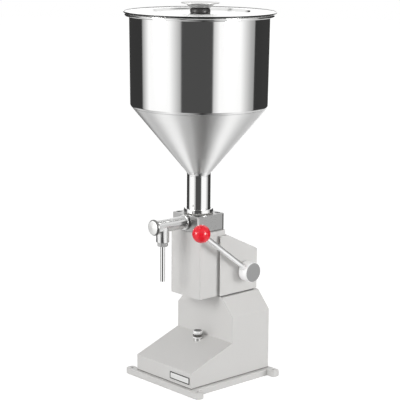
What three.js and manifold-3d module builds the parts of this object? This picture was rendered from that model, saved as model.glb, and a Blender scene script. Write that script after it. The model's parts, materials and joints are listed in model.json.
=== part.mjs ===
// A manual filling machine for paste and liquid, as an assembly of separate pieces.
// A hand lever works a piston in the column. Pulled down, it draws a charge out of the hopper, and
// lifted, it pushes the charge out through the tube and nozzle at the front.
// Millimetres, +Z up. The origin is on the ground under the hopper's axis. The nozzle faces -Y, and the
// lever is on the +X side.
import * as THREE from 'three';
import { mergeVertices } from 'three/addons/utils/BufferGeometryUtils.js';
import Module from 'manifold-3d';

const wasm = await Module();
wasm.setup();

// Fits
const seatGap = 0.3; // between a piece and what it rests on
const slideGap = 0.2; // round a piece that slides
const turnGap = 0.1; // round a shaft that turns
const overrun = 3; // how far a cut runs past the face that it opens
const weldDistance = 1e-4; // points closer than this are one point

// Facets of round pieces
const broad = 48;
const middle = 24;
const small = 16;
const tiny = 10;

// Base plate with four ears
const plateWidth = 166;
const plateThick = 12;
const plateFront = 90;
const plateBehind = 6.5; // past the lower body's back
const plateCorner = 5;
const plateBevel = 1;
const earReach = 17;
const earLength = 17;
const earHoleInset = 10;
const earHoleRadius = 3;

// Lower body, bent from sheet: a low toe, a sloped deck, a wall behind the niche, chamfered shoulders
const bodySheet = 2.5;
const bodyWidth = 149.5;
const bodyHeight = 145;
const bodyBehind = 4.4; // past the housing's back
const wallSetback = 17.4;
const toeFront = 82.6;
const toeHeight = 29.2;
const deckHeight = 65.1;
const shoulderDrop = 32;
const lugSize = 16;
const lugHeight = 14;

// Bare name plate on the toe's front
const namePlateLength = 52;
const namePlateHeight = 13;
const namePlateThick = 0.8;
const namePlateInset = 4.5; // from the toe's right-hand edge
const namePlateRise = 7.5; // above the toe's foot

// Stop screw on the deck, straight under the piston, with its bush and knurled nut
const stopPadRadius = 8.7;
const stopPadThick = 4.8;
const stopNeck = 1.4;
const stopStudRadius = 4;
const stopStudLength = 42;
const stopNutRadius = 8.9;
const stopNutHeight = 7.2;
const knurlDepth = 0.7;
const knurlCount = 24;
const stopBushRadius = 7.4;
const stopBushRise = 3.4; // above the deck where the screw's axis meets it
const stopBushLength = 26;

// Sole plate between the lower body and what stands on it
const soleThick = 2.5;
const soleInset = 3;

// Column, a casting that overhangs the niche
const columnWidth = 80;
const columnFront = 32.1;
const columnBack = 31.1;
const columnHeight = 120.5;
const columnCorner = 4;

// Pump: liner, piston, rod with a slotted yoke, and a foot that meets the stop screw
const stroke = 50;
const boreRadius = 17.85;
const linerWall = 3.8;
const linerLength = 52.6;
const pistonLength = 14;
const crownDrop = 10.5; // from the chamber's roof down to the crown of the raised piston
const sealGrooveWidth = 3;
const sealGrooveDepth = 2.4;
const sealInset = 2.5; // from the piston's ends to its grooves
const rodRadius = 7;
const rodSpigotRadius = 5;
const rodSpigotLength = 9;
const yokeRadius = 15;
const yokeHeight = 38;
const footRadius = 6;
const footDrop = 72; // from the cross pin down to the foot

// Valve block
const blockWidth = 70;
const blockFront = 33;
const blockBack = 31.6;
const blockHeight = 30;
const blockBevel = 0.8;
const blockChamfer = 2.4; // of the upright edges
const chamberHeight = 22;
const blockScrewInset = 9;

// Screws, as radii and lengths
const blockScrewRadius = 3;
const blockScrewLength = 42;
const blockScrewHead = 5.2;
const blockScrewHeadHeight = 5;
const plateScrewRadius = 2.5;
const plateScrewLength = 18;
const frameScrewRadius = 2.5;
const frameScrewLength = 16;
const smallHead = 4.4;
const smallHeadHeight = 4;
const socketShare = 0.5; // a screw's socket across its head
const socketDepthShare = 0.55;

// Inlet valve in the foot of the hopper's neck
const inletShankRadius = 13;
const inletShankLength = 7.5;
const inletBodyRadius = 19.8;
const inletBodyHeight = 34;
const inletFloor = 3;
const inletFloorHole = 5;
const inletCageRadius = 11.5;
const inletMouthRadius = 7.5;
const inletSeatHeight = 7;
const inletTop = 3;
const inletBallRadius = 9.5;
const inletSpringRadius = 6.4;
const inletSpringWire = 0.7;
const inletSpringTurns = 3.5;

// Hopper and the collar at its foot
const gasketThick = 1;
const gasketInset = 1.8; // of a gasket's edge under its flange
const collarRadius = 26.8;
const collarHeight = 7.5;
const collarBevel = 0.7;
const hopperWall = 1.5;
const neckRadius = 21.7;
const neckLength = 72;
const coneHeight = 122.9;
const bowlRadius = 125.6;
const bowlTaper = 1.8; // from the radius at its top to the one at its foot
const bowlHeight = 159.3; // up to the middle of the rolled bead
const seamRound = 5;
const neckRound = 10;
const neckWeldDrop = 5; // from the cone's foot down to the weld
const bowlWeldDrop = 3.5; // from the bowl's foot down to the weld
const beadRadius = 2.9;
const beadReach = 5.1; // from the bowl's outside to the middle of the rolled bead

// Lid and its knob
const lidThick = 1.4;
const lidOverhang = 1.9; // past the hopper's bead
const lidRoll = 2.8; // the rolled edge's thickness
const lidSkirtDrop = 6;
const lidSkirtFit = 1;
const lidPanelRadius = 87; // of the sunk middle
const lidPanelDrop = 3.3;
const lidRise = 0.6; // of the sheet above the bead, beside the skirt
const lidCone = 1.2; // from there up to the sunk middle's edge
const knobFootRadius = 18;
const knobFootHeight = 8.9;
const knobFootRound = 4.4;
const knobCapRadius = 34;
const knobCapHeight = 8.8;
const knobCapEdge = 1.6;
const knobCapLift = 7.2; // of the cap's edge above its foot
const knobWaist = 19;
const knobShoulder = 25; // where the cap's underside turns flatter
const knobShoulderLift = 5.6;
const knobScrewRadius = 2.5;
const knobScrewLength = 12;

// Outlet: tube with a flange, branch down with the outlet valve, end cap, nut and nozzle
const outletRise = 16.4; // the tube's axis above the block's foot
const tubeRadius = 11.6;
const tubeBore = 8.5;
const tubeLength = 70.6; // from the block's face to the end cap
const tubeSpigotLength = 8;
const tubeSpigotRadius = 10.4;
const flangeRadius = 14.3;
const flangeThick = 4.4;
const flangeGasket = 0.6;
const branchOut = 52.8; // from the block's face to the branch's axis
const branchRadius = 11.7;
const branchDrop = 29;
const branchBore = 8.3;
const branchMouth = 4;
const branchSeatHeight = 3.5;
const branchSeatTop = 10; // below the tube's axis
const capRadius = 14.3;
const capRim = 3;
const capDome = 3.4;
const capFaceRadius = 12.2;
const capSpigotLength = 6;
const outletBallRadius = 6;
const outletSpringRadius = 4.2;
const outletSpringWire = 0.5;
const outletSpringTurns = 2.5;
const nutAcross = 17;
const nutHeight = 7;
const nutShankLength = 2;
const nozzleRadius = 4.4;
const nozzleBore = 3.4;
const nozzleReach = 64.6; // below the nut
const nozzleFlange = 1.2;

// Mechanism frame inside the housing
const frameInset = 9.65; // from the housing's side to the cheek's outside
const frameCheek = 8;
const frameFrontPlate = 6;
const frameFootThick = 8;
const frameBehind = 20.9; // behind the shaft's axis
const frameBridge = 4.4; // above the rocker arm's window
const frameRearRise = 17.4; // above the shaft's axis, at the back
const frameWindowRadius = 9;

// Lever shaft, bushes, rocker arm and cross pin
const shaftRise = 38.6; // above the column's foot
const shaftSetback = 74.5; // behind the piston's axis
const shaftRadius = 7;
const shaftTail = 6; // past the left cheek
const bushWall = 3;
const bushFlange = 1.5;
const bushFlangeReach = 2;
const clipThick = 1.2;
const clipReach = 2.6;
const clipGroove = 1;
const clipMouth = 8;
const pinForward = 0.6; // the cross pin behind the piston's axis, at both ends of its swing
const armThick = 12;
const armHubRadius = 13;
const armEyeRadius = 8;
const pinRadius = 4;
const pinLength = 25;
const pinSlack = 0.5; // above and below the pin in the yoke's slots
const tongueGap = 0.6; // beside the rocker arm in the yoke

// Housing, a sheet cover behind the column
const housingSheet = 1.5;
const housingWidth = 91.3;
const housingFront = 12.2;
const housingBehind = 31.1; // behind the shaft's axis
const housingHeight = 111.1;
const housingRearHeight = 75.7;
const housingFlange = 7; // turned in along the foot at the back
const shaftHoleRadius = 9;

// Lever: hub, rod, ball
const leverAngle = 36.4; // degrees above level at rest
const hubRadius = 18.4;
const hubLength = 20.7;
const hubBevel = 0.7;
const hubBoreDepth = 15;
const washerRadius = 15.5;
const washerThick = 1;
const rodPlane = 10.2; // from the hub's inner end to the lever rod's axis
const leverRodRadius = 4.9;
const leverRodSeat = 9.6; // the rod's inner end, from the shaft's axis
const leverLength = 149.1;
const ballRadius = 16.4;
const ballHoleDepth = 24;
const spotFaceRadius = 7.4;
const spotFaceDepth = 1.6;
const setScrewRadius = 3;
const setScrewLength = 7;

// Heights and places that follow from the sizes above
const bodyFoot = plateThick + seatGap;
const bodyTop = bodyFoot + bodyHeight;
const soleFoot = bodyTop + seatGap;
const columnFoot = soleFoot + soleThick + seatGap;
const columnTop = columnFoot + columnHeight;
const blockFoot = columnTop + seatGap;
const blockTop = blockFoot + blockHeight;
const chamberRoof = blockFoot + chamberHeight;
const crownTop = chamberRoof - crownDrop;
const gasketFoot = blockTop + seatGap;
const collarFoot = gasketFoot + gasketThick + seatGap;
const hopperTop = collarFoot + neckLength + coneHeight + bowlHeight;
const outletAxis = blockFoot + outletRise;
const shaftHeight = columnFoot + shaftRise;
const armLength = Math.hypot(shaftSetback - pinForward, stroke / 2);
const halfSwing = Math.asin(stroke / 2 / armLength);
const pinHeight = shaftHeight + stroke / 2;
const windowLow = shaftRise - stroke / 2 - armEyeRadius - seatGap * 2;
const windowHigh = shaftRise + stroke / 2 + armEyeRadius / 2;
const frameHeight = windowHigh + frameBridge;
const frameFront = columnBack + seatGap;
const frameBack = shaftSetback + frameBehind;
const housingBack = shaftSetback + housingBehind;
const bodyBack = housingBack + bodyBehind;
const plateBack = bodyBack + plateBehind;
const deckSlope = (deckHeight - toeHeight) / (wallSetback + toeFront);
const deckAtStop = bodyFoot + deckHeight - deckSlope * wallSetback;
const stopBushTop = deckAtStop + stopBushRise;
const stopNutFoot = stopBushTop + seatGap;
const stopPadTop = stopNutFoot + stopNutHeight + stopNeck + stopPadThick;
const frameWidth = housingWidth - 2 * frameInset;
const hubFoot = housingWidth / 2 + 2 * seatGap + washerThick;
const rodX = hubFoot + rodPlane;
const cheekInside = frameWidth / 2 - frameCheek;
const bowlFootRadius = bowlRadius - bowlTaper;
const lidRadius = bowlRadius + beadReach + beadRadius + lidOverhang;

// Colours and finishes
const finishes = {
  polished: new THREE.MeshStandardMaterial({ color: 0xd9dbdc, roughness: 0.12, metalness: 1 }),
  satin: new THREE.MeshStandardMaterial({ color: 0xb9bbbb, roughness: 0.35, metalness: 1 }),
  chrome: new THREE.MeshStandardMaterial({ color: 0xe4e6e8, roughness: 0.06, metalness: 1 }),
  paint: new THREE.MeshStandardMaterial({ color: 0xd6d4cf, roughness: 0.38, metalness: 0 }),
  iron: new THREE.MeshStandardMaterial({ color: 0x6b6c6e, roughness: 0.55, metalness: 1 }),
  brass: new THREE.MeshStandardMaterial({ color: 0xb8924a, roughness: 0.35, metalness: 1 }),
  rubber: new THREE.MeshStandardMaterial({ color: 0x222222, roughness: 0.8, metalness: 0 }),
  black: new THREE.MeshStandardMaterial({ color: 0x1a1a1a, roughness: 0.3, metalness: 0 }),
  red: new THREE.MeshStandardMaterial({ color: 0xd30a10, roughness: 0.12, metalness: 0 }),
};

// Solids from three.js geometry

function signedVolume(points, faces) {
  let volume = 0;
  for (let i = 0; i < faces.length; i += 3) {
    const [a, b, c] = [faces[i], faces[i + 1], faces[i + 2]].map((k) =>
      new THREE.Vector3().fromArray(points, 3 * k));
    volume += a.dot(b.cross(c));
  }
  return volume;
}

function solid(geometry) {
  const bare = geometry.clone();
  bare.deleteAttribute('normal');
  bare.deleteAttribute('uv');
  const merged = mergeVertices(bare, weldDistance);
  const points = merged.getAttribute('position').array;
  const index = merged.getIndex().array;
  const faces = [];
  for (let i = 0; i < index.length; i += 3) {
    const [a, b, c] = [index[i], index[i + 1], index[i + 2]];
    if (a !== b && b !== c && c !== a) faces.push(a, b, c);
  }
  if (signedVolume(points, faces) < 0) {
    for (let i = 0; i < faces.length; i += 3) [faces[i], faces[i + 1]] = [faces[i + 1], faces[i]];
  }
  return new wasm.Manifold(new wasm.Mesh({
    numProp: 3,
    vertProperties: new Float32Array(points),
    triVerts: new Uint32Array(faces),
  }));
}

function geometryOf(body) {
  const mesh = body.getMesh();
  const geometry = new THREE.BufferGeometry();
  geometry.setAttribute('position', new THREE.BufferAttribute(new Float32Array(mesh.vertProperties), 3));
  geometry.setIndex(new THREE.BufferAttribute(new Uint32Array(mesh.triVerts), 1));
  geometry.computeVertexNormals();
  return geometry;
}

function cut(body, ...tools) {
  return tools.reduce((rest, tool) => rest.subtract(tool), body);
}

function join(body, ...more) {
  return more.reduce((whole, piece) => whole.add(piece), body);
}

// Shapes

function bar(x0, x1, y0, y1, z0, z1) {
  const box = new THREE.BoxGeometry(x1 - x0, y1 - y0, z1 - z0);
  box.translate((x0 + x1) / 2, (y0 + y1) / 2, (z0 + z1) / 2);
  return solid(box);
}

// A profile of [radius, height] points, turned about the Z axis. It is closed unless it starts and ends
// on the axis.
function turned(profile, facets = middle) {
  const points = profile.map(([r, z]) => new THREE.Vector2(r, z));
  const first = points[0];
  const last = points[points.length - 1];
  if (first.x > 0 || last.x > 0) points.push(first.clone());
  return solid(new THREE.LatheGeometry(points, facets).rotateX(Math.PI / 2));
}

function disc(radius, z0, z1, facets = small) {
  return turned([[0, z0], [radius, z0], [radius, z1], [0, z1]], facets);
}

function ring(inner, outer, z0, z1, facets = small) {
  return turned([[inner, z0], [outer, z0], [outer, z1], [inner, z1]], facets);
}

// A disc with its upper and lower outer edges bevelled
function bevelledDisc(radius, z0, z1, bevel, facets = middle) {
  return turned([
    [0, z0], [radius - bevel, z0], [radius, z0 + bevel],
    [radius, z1 - bevel], [radius - bevel, z1], [0, z1],
  ], facets);
}

// The same solid with its Z axis laid along +X or along -Y
function alongX(body) {
  return body.rotate([0, 90, 0]);
}

function forward(body) {
  return body.rotate([90, 0, 0]);
}

// Rounds the corners of a path of [x, y, radius] points. A point with no radius stays sharp.
function roundedPath(points, steps = 2) {
  const path = [];
  points.forEach(([x, y, radius = 0], i) => {
    if (!radius || i === 0 || i === points.length - 1) {
      path.push([x, y]);
      return;
    }
    const here = new THREE.Vector2(x, y);
    const before = new THREE.Vector2(...points[i - 1]).sub(here).normalize();
    const after = new THREE.Vector2(...points[i + 1]).sub(here).normalize();
    const half = Math.acos(before.dot(after)) / 2;
    const middleLine = before.clone().add(after).normalize();
    const centre = here.clone().addScaledVector(middleLine, radius / Math.sin(half));
    const from = here.clone().addScaledVector(before, radius / Math.tan(half)).sub(centre);
    const to = here.clone().addScaledVector(after, radius / Math.tan(half)).sub(centre);
    const turn = Math.atan2(from.cross(to), from.dot(to));
    for (let k = 0; k <= steps; k += 1) {
      const spot = from.clone().rotateAround(new THREE.Vector2(), (turn * k) / steps).add(centre);
      path.push([spot.x, spot.y]);
    }
  });
  return path;
}

function arc(x, y, radius, fromDegrees, toDegrees, steps) {
  return Array.from({ length: steps + 1 }, (_, i) => {
    const angle = THREE.MathUtils.degToRad(fromDegrees + ((toDegrees - fromDegrees) * i) / steps);
    return [x + radius * Math.cos(angle), y + radius * Math.sin(angle)];
  });
}

function shapeOf(points) {
  return new THREE.Shape(points.map(([x, y]) => new THREE.Vector2(x, y)));
}

// A flat outline raised from z0 to z1, with its top and bottom edges bevelled if asked
function raised(points, z0, z1, bevel = 0) {
  const geometry = new THREE.ExtrudeGeometry(shapeOf(points), {
    depth: z1 - z0 - 2 * bevel,
    bevelEnabled: bevel > 0,
    bevelSize: bevel,
    bevelOffset: -bevel,
    bevelThickness: bevel,
    bevelSegments: 1,
  });
  return solid(geometry.translate(0, 0, z0 + bevel));
}

// An outline of [y, z] points, drawn out along X from x0 to x1
function sideways(points, x0, x1) {
  const geometry = new THREE.ExtrudeGeometry(shapeOf(points), { depth: x1 - x0, bevelEnabled: false });
  geometry.rotateZ(Math.PI / 2).rotateY(Math.PI / 2);
  return solid(geometry.translate(x0, 0, 0));
}

// An outline of [x, z] points, drawn out along Y from y0 to y1
function lengthways(points, y0, y1) {
  const geometry = new THREE.ExtrudeGeometry(shapeOf(points), { depth: y1 - y0, bevelEnabled: false });
  return solid(geometry.rotateX(Math.PI / 2).translate(0, y1, 0));
}

function rectangle(x0, x1, y0, y1, radius = 0, steps = 3) {
  const corners = [[x0, y0], [x1, y0], [x1, y1], [x0, y1]];
  if (!radius) return corners;
  return [
    ...arc(x0 + radius, y0 + radius, radius, 180, 270, steps),
    ...arc(x1 - radius, y0 + radius, radius, 270, 360, steps),
    ...arc(x1 - radius, y1 - radius, radius, 0, 90, steps),
    ...arc(x0 + radius, y1 - radius, radius, 90, 180, steps),
  ];
}

// Moves every side of a closed outline, drawn anticlockwise, inwards by the same distance
function inset(points, distance) {
  return points.map((_, i) => {
    const here = new THREE.Vector2(...points[i]);
    const last = new THREE.Vector2(...points[(i + points.length - 1) % points.length]);
    const next = new THREE.Vector2(...points[(i + 1) % points.length]);
    const into = here.clone().sub(last).normalize();
    const out = next.clone().sub(here).normalize();
    const inward = new THREE.Vector2(-into.y, into.x).add(new THREE.Vector2(-out.y, out.x)).normalize();
    const miter = distance / inward.dot(new THREE.Vector2(-into.y, into.x));
    return here.addScaledVector(inward, miter).toArray();
  });
}

function hexagon(across) {
  return arc(0, 0, across / Math.sqrt(3), 0, 300, 5);
}

// A socket screw with its head's top at z = 0 and its shank going down
function socketScrew(shankRadius, length, headRadius, headHeight) {
  const bevel = headRadius / 10;
  const head = turned([
    [0, -headHeight], [headRadius, -headHeight], [headRadius, -bevel], [headRadius - bevel, 0], [0, 0],
  ], small);
  const shank = disc(shankRadius, -headHeight - length, -headHeight / 2, tiny);
  const socket = raised(hexagon(2 * headRadius * socketShare), -headHeight * socketDepthShare, overrun);
  return cut(join(head, shank), socket);
}

// One unbroken wire wound about the Z axis from the height z0 up to z1
function coil(radius, wire, turns, z0, z1) {
  class Helix extends THREE.Curve {
    getPoint(t, target = new THREE.Vector3()) {
      const angle = 2 * Math.PI * turns * t;
      return target.set(radius * Math.cos(angle), radius * Math.sin(angle), z0 + (z1 - z0) * t);
    }
  }
  const geometry = new THREE.ExtrudeGeometry(shapeOf(hexagon(wire * Math.sqrt(3))), {
    steps: Math.round(tiny * turns),
    extrudePath: new Helix(),
  });
  return solid(geometry);
}

// The height of a ball's centre that leaves seatGap to a cone above it. The cone narrows from
// wide at z0 to narrow at z1.
function ballUnderCone(ball, wide, z0, narrow, z1) {
  const slant = Math.hypot(wide - narrow, z1 - z0);
  return z0 + ((z1 - z0) * wide - (ball + seatGap) * slant) / (wide - narrow);
}

// Placing

const machine = new THREE.Group();

function group(x, y, z, parent = machine) {
  const node = new THREE.Group();
  node.position.set(x, y, z);
  parent.add(node);
  return node;
}

function piece(name, body, finish, parent, x = 0, y = 0, z = 0) {
  const mesh = new THREE.Mesh(geometryOf(body), finishes[finish]);
  mesh.name = name;
  mesh.position.set(x, y, z);
  parent.add(mesh);
  return mesh;
}

// Runs a maker for the four corners of a rectangle, right front first
function corners(x, front, back, make) {
  [[x, front], [-x, front], [x, back], [-x, back]].forEach(([cx, cy], i) => make(cx, cy, i + 1));
}

// Base plate, lower body and what is on them

const standGroup = group(0, 0, 0);
const lugX = bodyWidth / 2 - bodySheet - lugSize / 2;
const lugFront = -toeFront + bodySheet + lugSize / 2;
const lugBack = bodyBack - bodySheet - lugSize / 2;

// Half of the base plate's outline, from its front middle round to its back middle, as rounded corners
function basePlateOutline() {
  const half = plateWidth / 2;
  const tip = half + earReach;
  const side = [
    [0, -plateFront], [tip, -plateFront, plateCorner], [tip, -plateFront + earLength, plateCorner],
    [half, -plateFront + earLength], [half, plateBack - earLength],
    [tip, plateBack - earLength, plateCorner], [tip, plateBack, plateCorner], [0, plateBack],
  ];
  const right = roundedPath(side).slice(1, -1);
  return [...right, ...right.map(([x, y]) => [-x, y]).reverse()];
}

function basePlate() {
  let plate = raised(basePlateOutline(), 0, plateThick, plateBevel);
  const holeX = plateWidth / 2 + earReach - earHoleInset;
  corners(holeX, -plateFront + earLength / 2, plateBack - earLength / 2, (x, y) => {
    plate = cut(plate, disc(earHoleRadius, -overrun, plateThick + overrun).translate([x, y, 0]));
  });
  corners(lugX, lugFront, lugBack, (x, y) => {
    const head = disc(smallHead + seatGap, -overrun, smallHeadHeight + 2 * seatGap);
    const shank = disc(plateScrewRadius + seatGap, -overrun, plateThick + overrun, tiny);
    plate = cut(plate, join(head, shank).translate([x, y, 0]));
  });
  return plate;
}

function bodySide() {
  return [
    [-toeFront, 0], [bodyBack, 0], [bodyBack, bodyHeight], [wallSetback, bodyHeight],
    [wallSetback, deckHeight], [-toeFront, toeHeight],
  ];
}

function bodyFrontView() {
  const half = bodyWidth / 2;
  const top = housingWidth / 2;
  return [
    [-half, 0], [half, 0], [half, bodyHeight - shoulderDrop],
    [top, bodyHeight], [-top, bodyHeight], [-half, bodyHeight - shoulderDrop],
  ];
}

function lowerBody() {
  const half = bodyWidth / 2;
  const outside = sideways(bodySide(), -half, half)
    .intersect(lengthways(bodyFrontView(), -toeFront - overrun, bodyBack + overrun));
  const inside = sideways(inset(bodySide(), bodySheet), -half + bodySheet, half - bodySheet)
    .intersect(lengthways(inset(bodyFrontView(), bodySheet), -toeFront, bodyBack));
  const mouth = bar(-half + bodySheet, half - bodySheet, -toeFront + bodySheet, bodyBack - bodySheet,
    -overrun, bodySheet + weldDistance);
  let shell = cut(outside, inside, mouth);
  corners(lugX, lugFront, lugBack, (x, y, i) => {
    const side = Math.sign(x) * (bodySheet / 2);
    const end = (i <= 2 ? -1 : 1) * (bodySheet / 2);
    const lug = bar(-lugSize / 2, lugSize / 2, -lugSize / 2, lugSize / 2, 0, lugHeight)
      .translate([x + side, y + end, 0]);
    shell = join(shell, lug);
    shell = cut(shell, disc(plateScrewRadius + seatGap, -overrun, lugHeight - bodySheet, tiny)
      .translate([x, y, 0]));
  });
  return cut(shell, disc(stopBushRadius + seatGap, toeHeight, bodyHeight - shoulderDrop));
}

function stopBush() {
  return ring(stopStudRadius + turnGap, stopBushRadius, -stopBushLength, 0, small);
}

function stopNut() {
  const teeth = [];
  for (let i = 0; i < knurlCount; i += 1) {
    const angle = (2 * Math.PI * i) / knurlCount;
    const half = Math.PI / knurlCount;
    teeth.push([stopNutRadius * Math.cos(angle), stopNutRadius * Math.sin(angle)]);
    const root = stopNutRadius - knurlDepth;
    teeth.push([root * Math.cos(angle + half), root * Math.sin(angle + half)]);
  }
  return cut(raised(teeth, 0, stopNutHeight),
    disc(stopStudRadius + turnGap, -overrun, stopNutHeight + overrun));
}

function strokeStop() {
  const bevel = stopPadThick / 5;
  return turned([
    [0, -stopPadThick - stopStudLength], [stopStudRadius - bevel, -stopPadThick - stopStudLength],
    [stopStudRadius, -stopPadThick - stopStudLength + bevel], [stopStudRadius, -stopPadThick],
    [stopPadRadius - bevel, -stopPadThick], [stopPadRadius, -stopPadThick + bevel],
    [stopPadRadius, -bevel], [stopPadRadius - bevel, 0],
    [stopPadRadius - 2 * bevel, 0], [stopPadRadius - 3 * bevel, -bevel / 2], [0, -bevel / 2],
  ], small);
}

function namePlate() {
  const outline = rectangle(0, namePlateLength, 0, namePlateHeight, namePlateHeight / 10, 2);
  return raised(outline, 0, namePlateThick).rotate([90, 0, 0]);
}

function solePlate() {
  const half = housingWidth / 2 - soleInset;
  return raised(rectangle(-half, half, wallSetback + soleInset, housingBack - soleInset, soleInset),
    0, soleThick);
}

piece('base_plate', basePlate(), 'paint', standGroup);
piece('lower_body', lowerBody(), 'paint', standGroup, 0, 0, bodyFoot);
corners(lugX, lugFront, lugBack, (x, y, i) => {
  const screw = socketScrew(plateScrewRadius, plateScrewLength, smallHead, smallHeadHeight).rotate([180, 0, 0]);
  piece(`base_screw_${i}`, screw, 'iron', standGroup, x, y, seatGap);
});
piece('name_plate', namePlate(), 'black', standGroup,
  bodyWidth / 2 - namePlateInset - namePlateLength, -toeFront - seatGap, bodyFoot + namePlateRise);
piece('stop_bush', stopBush(), 'satin', standGroup, 0, 0, stopBushTop);
piece('stop_nut', stopNut(), 'chrome', standGroup, 0, 0, stopNutFoot);
piece('stroke_stop', strokeStop(), 'chrome', standGroup, 0, 0, stopPadTop);
piece('sole_plate', solePlate(), 'rubber', standGroup, 0, 0, soleFoot);

// Column with the liner, the piston and its rod

const columnGroup = group(0, 0, columnFoot);
const linerFoot = columnHeight - linerLength;
const screwDrop = frameScrewRadius * 4;
const frameScrewX = cheekInside - smallHead * 2;

function column() {
  const half = columnWidth / 2;
  let casting = raised(rectangle(-half, half, -columnFront, columnBack, columnCorner), 0, columnHeight);
  const chamber = disc(yokeRadius + 1.5 * slideGap, -overrun, columnHeight + overrun, middle);
  const seat = disc(boreRadius + linerWall + seatGap, linerFoot - seatGap, columnHeight + overrun, middle);
  const window = bar(-frameWindowRadius, frameWindowRadius, 0, columnBack + overrun, windowLow, windowHigh);
  casting = cut(casting, chamber, seat, window);
  corners(blockWidth / 2 - blockScrewInset, -blockFront + blockScrewInset, blockBack - blockScrewInset,
    (x, y) => {
      const depth = blockScrewLength + blockScrewHeadHeight - blockHeight + 2 * seatGap;
      const hole = disc(blockScrewRadius + seatGap, columnHeight - depth, columnHeight + overrun, tiny);
      casting = cut(casting, hole.translate([x, y, 0]));
    });
  [-frameScrewX, frameScrewX].forEach((x) => {
    const hole = disc(frameScrewRadius + seatGap, -frameScrewLength, overrun, tiny);
    casting = cut(casting, hole.rotate([-90, 0, 0]).translate([x, columnBack, frameHeight - screwDrop]));
  });
  return casting;
}

function liner() {
  const outer = boreRadius + linerWall;
  const bevel = linerWall / 5;
  return turned([
    [boreRadius, 0], [outer, 0], [outer, linerLength - bevel],
    [outer - bevel, linerLength], [boreRadius, linerLength],
  ], small);
}

// Origin at the crown's centre
function piston() {
  const outer = boreRadius - slideGap;
  const root = outer - sealGrooveDepth;
  const upper = -sealInset;
  const lower = -pistonLength + sealInset + sealGrooveWidth;
  const core = turned([
    [0, -pistonLength], [outer, -pistonLength],
    [outer, lower - sealGrooveWidth], [root, lower - sealGrooveWidth], [root, lower], [outer, lower],
    [outer, upper - sealGrooveWidth], [root, upper - sealGrooveWidth], [root, upper], [outer, upper],
    [outer, -sealInset / 4], [outer - sealInset / 4, 0], [0, 0],
  ], small);
  return cut(core, disc(rodSpigotRadius + seatGap, -pistonLength - overrun,
    -pistonLength + rodSpigotLength + 2 * seatGap));
}

// A ring of rounded section, with its origin at its middle height
function seal() {
  const outer = boreRadius - slideGap / 2;
  const inner = boreRadius - slideGap - sealGrooveDepth + seatGap;
  const half = sealGrooveWidth / 2 - seatGap / 2;
  const corner = half / 2;
  return turned([
    [inner, -half], [outer - corner, -half], [outer, -half + corner],
    [outer, half - corner], [outer - corner, half], [inner, half],
  ], small);
}

// Origin at the cross pin's height on the piston's axis
function pistonRod() {
  const half = yokeHeight / 2;
  const top = crownTop - pistonLength - seatGap - pinHeight;
  const bevel = yokeRadius / 10;
  const rod = turned([
    [0, -footDrop], [footRadius - bevel, -footDrop], [footRadius, -footDrop + bevel],
    [footRadius, -half - bevel], [yokeRadius - bevel, -half], [yokeRadius, -half + bevel],
    [yokeRadius, half - bevel], [yokeRadius - bevel, half], [rodRadius, half + bevel],
    [rodRadius, top], [rodSpigotRadius, top], [rodSpigotRadius, top + rodSpigotLength],
    [0, top + rodSpigotLength],
  ]);
  const nearest = shaftSetback - armLength;
  const tongue = armThick / 2 + tongueGap;
  const slotFront = nearest - armEyeRadius - tongueGap;
  const slotHalf = armEyeRadius + (yokeRadius - nearest) * Math.tan(halfSwing) + 2 * tongueGap;
  const gate = bar(-tongue, tongue, slotFront, yokeRadius + overrun, -slotHalf, slotHalf);
  const pinSlot = pinRadius + pinSlack;
  const slot = sideways([
    ...arc(pinForward + tongueGap, 0, pinSlot, -90, 90, 8),
    ...arc(nearest - tongueGap, 0, pinSlot, 90, 270, 8),
  ], -yokeRadius - overrun, yokeRadius + overrun);
  return cut(rod, gate, slot);
}

piece('column', column(), 'paint', columnGroup);
piece('cylinder_liner', liner(), 'polished', columnGroup, 0, 0, linerFoot);
const pistonGroup = group(0, 0, crownTop);
piece('piston', piston(), 'satin', pistonGroup);
piece('piston_seal_upper', seal(), 'rubber', pistonGroup, 0, 0, -sealInset - sealGrooveWidth / 2);
piece('piston_seal_lower', seal(), 'rubber', pistonGroup,
  0, 0, -pistonLength + sealInset + sealGrooveWidth / 2);
piece('piston_rod', pistonRod(), 'satin', pistonGroup, 0, 0, pinHeight - crownTop);

// Valve block and its screws

const blockGroup = group(0, 0, blockFoot);

function valveBlock() {
  const half = blockWidth / 2;
  let block = raised(rectangle(-half, half, -blockFront, blockBack, blockChamfer, 1), 0, blockHeight,
    blockBevel);
  const chamber = disc(boreRadius, -overrun, chamberHeight);
  const inlet = disc(inletShankRadius + seatGap, chamberHeight / 2, blockHeight + overrun, middle);
  const passage = forward(disc(tubeBore, 0, blockFront + overrun, small)).translate([0, 0, outletRise]);
  const socket = forward(disc(tubeSpigotRadius + seatGap, blockFront - tubeSpigotLength - seatGap,
    blockFront + overrun, small)).translate([0, 0, outletRise]);
  block = cut(block, chamber, inlet, passage, socket);
  const sink = blockScrewHeadHeight + 2 * seatGap;
  corners(half - blockScrewInset, -blockFront + blockScrewInset, blockBack - blockScrewInset, (x, y) => {
    const head = disc(blockScrewHead + seatGap, blockHeight - sink, blockHeight + overrun, small);
    const shank = disc(blockScrewRadius + seatGap, -overrun, blockHeight, tiny);
    block = cut(block, join(head, shank).translate([x, y, 0]));
  });
  return block;
}

piece('valve_block', valveBlock(), 'satin', blockGroup);
corners(blockWidth / 2 - blockScrewInset, -blockFront + blockScrewInset, blockBack - blockScrewInset,
  (x, y, i) => {
    const screw = socketScrew(blockScrewRadius, blockScrewLength, blockScrewHead, blockScrewHeadHeight);
    piece(`block_screw_${i}`, screw, 'iron', blockGroup, x, y, blockHeight - seatGap);
  });

// Inlet valve. Its origin is at the block's top, and its ball hangs under a cone on a light spring.

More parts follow.
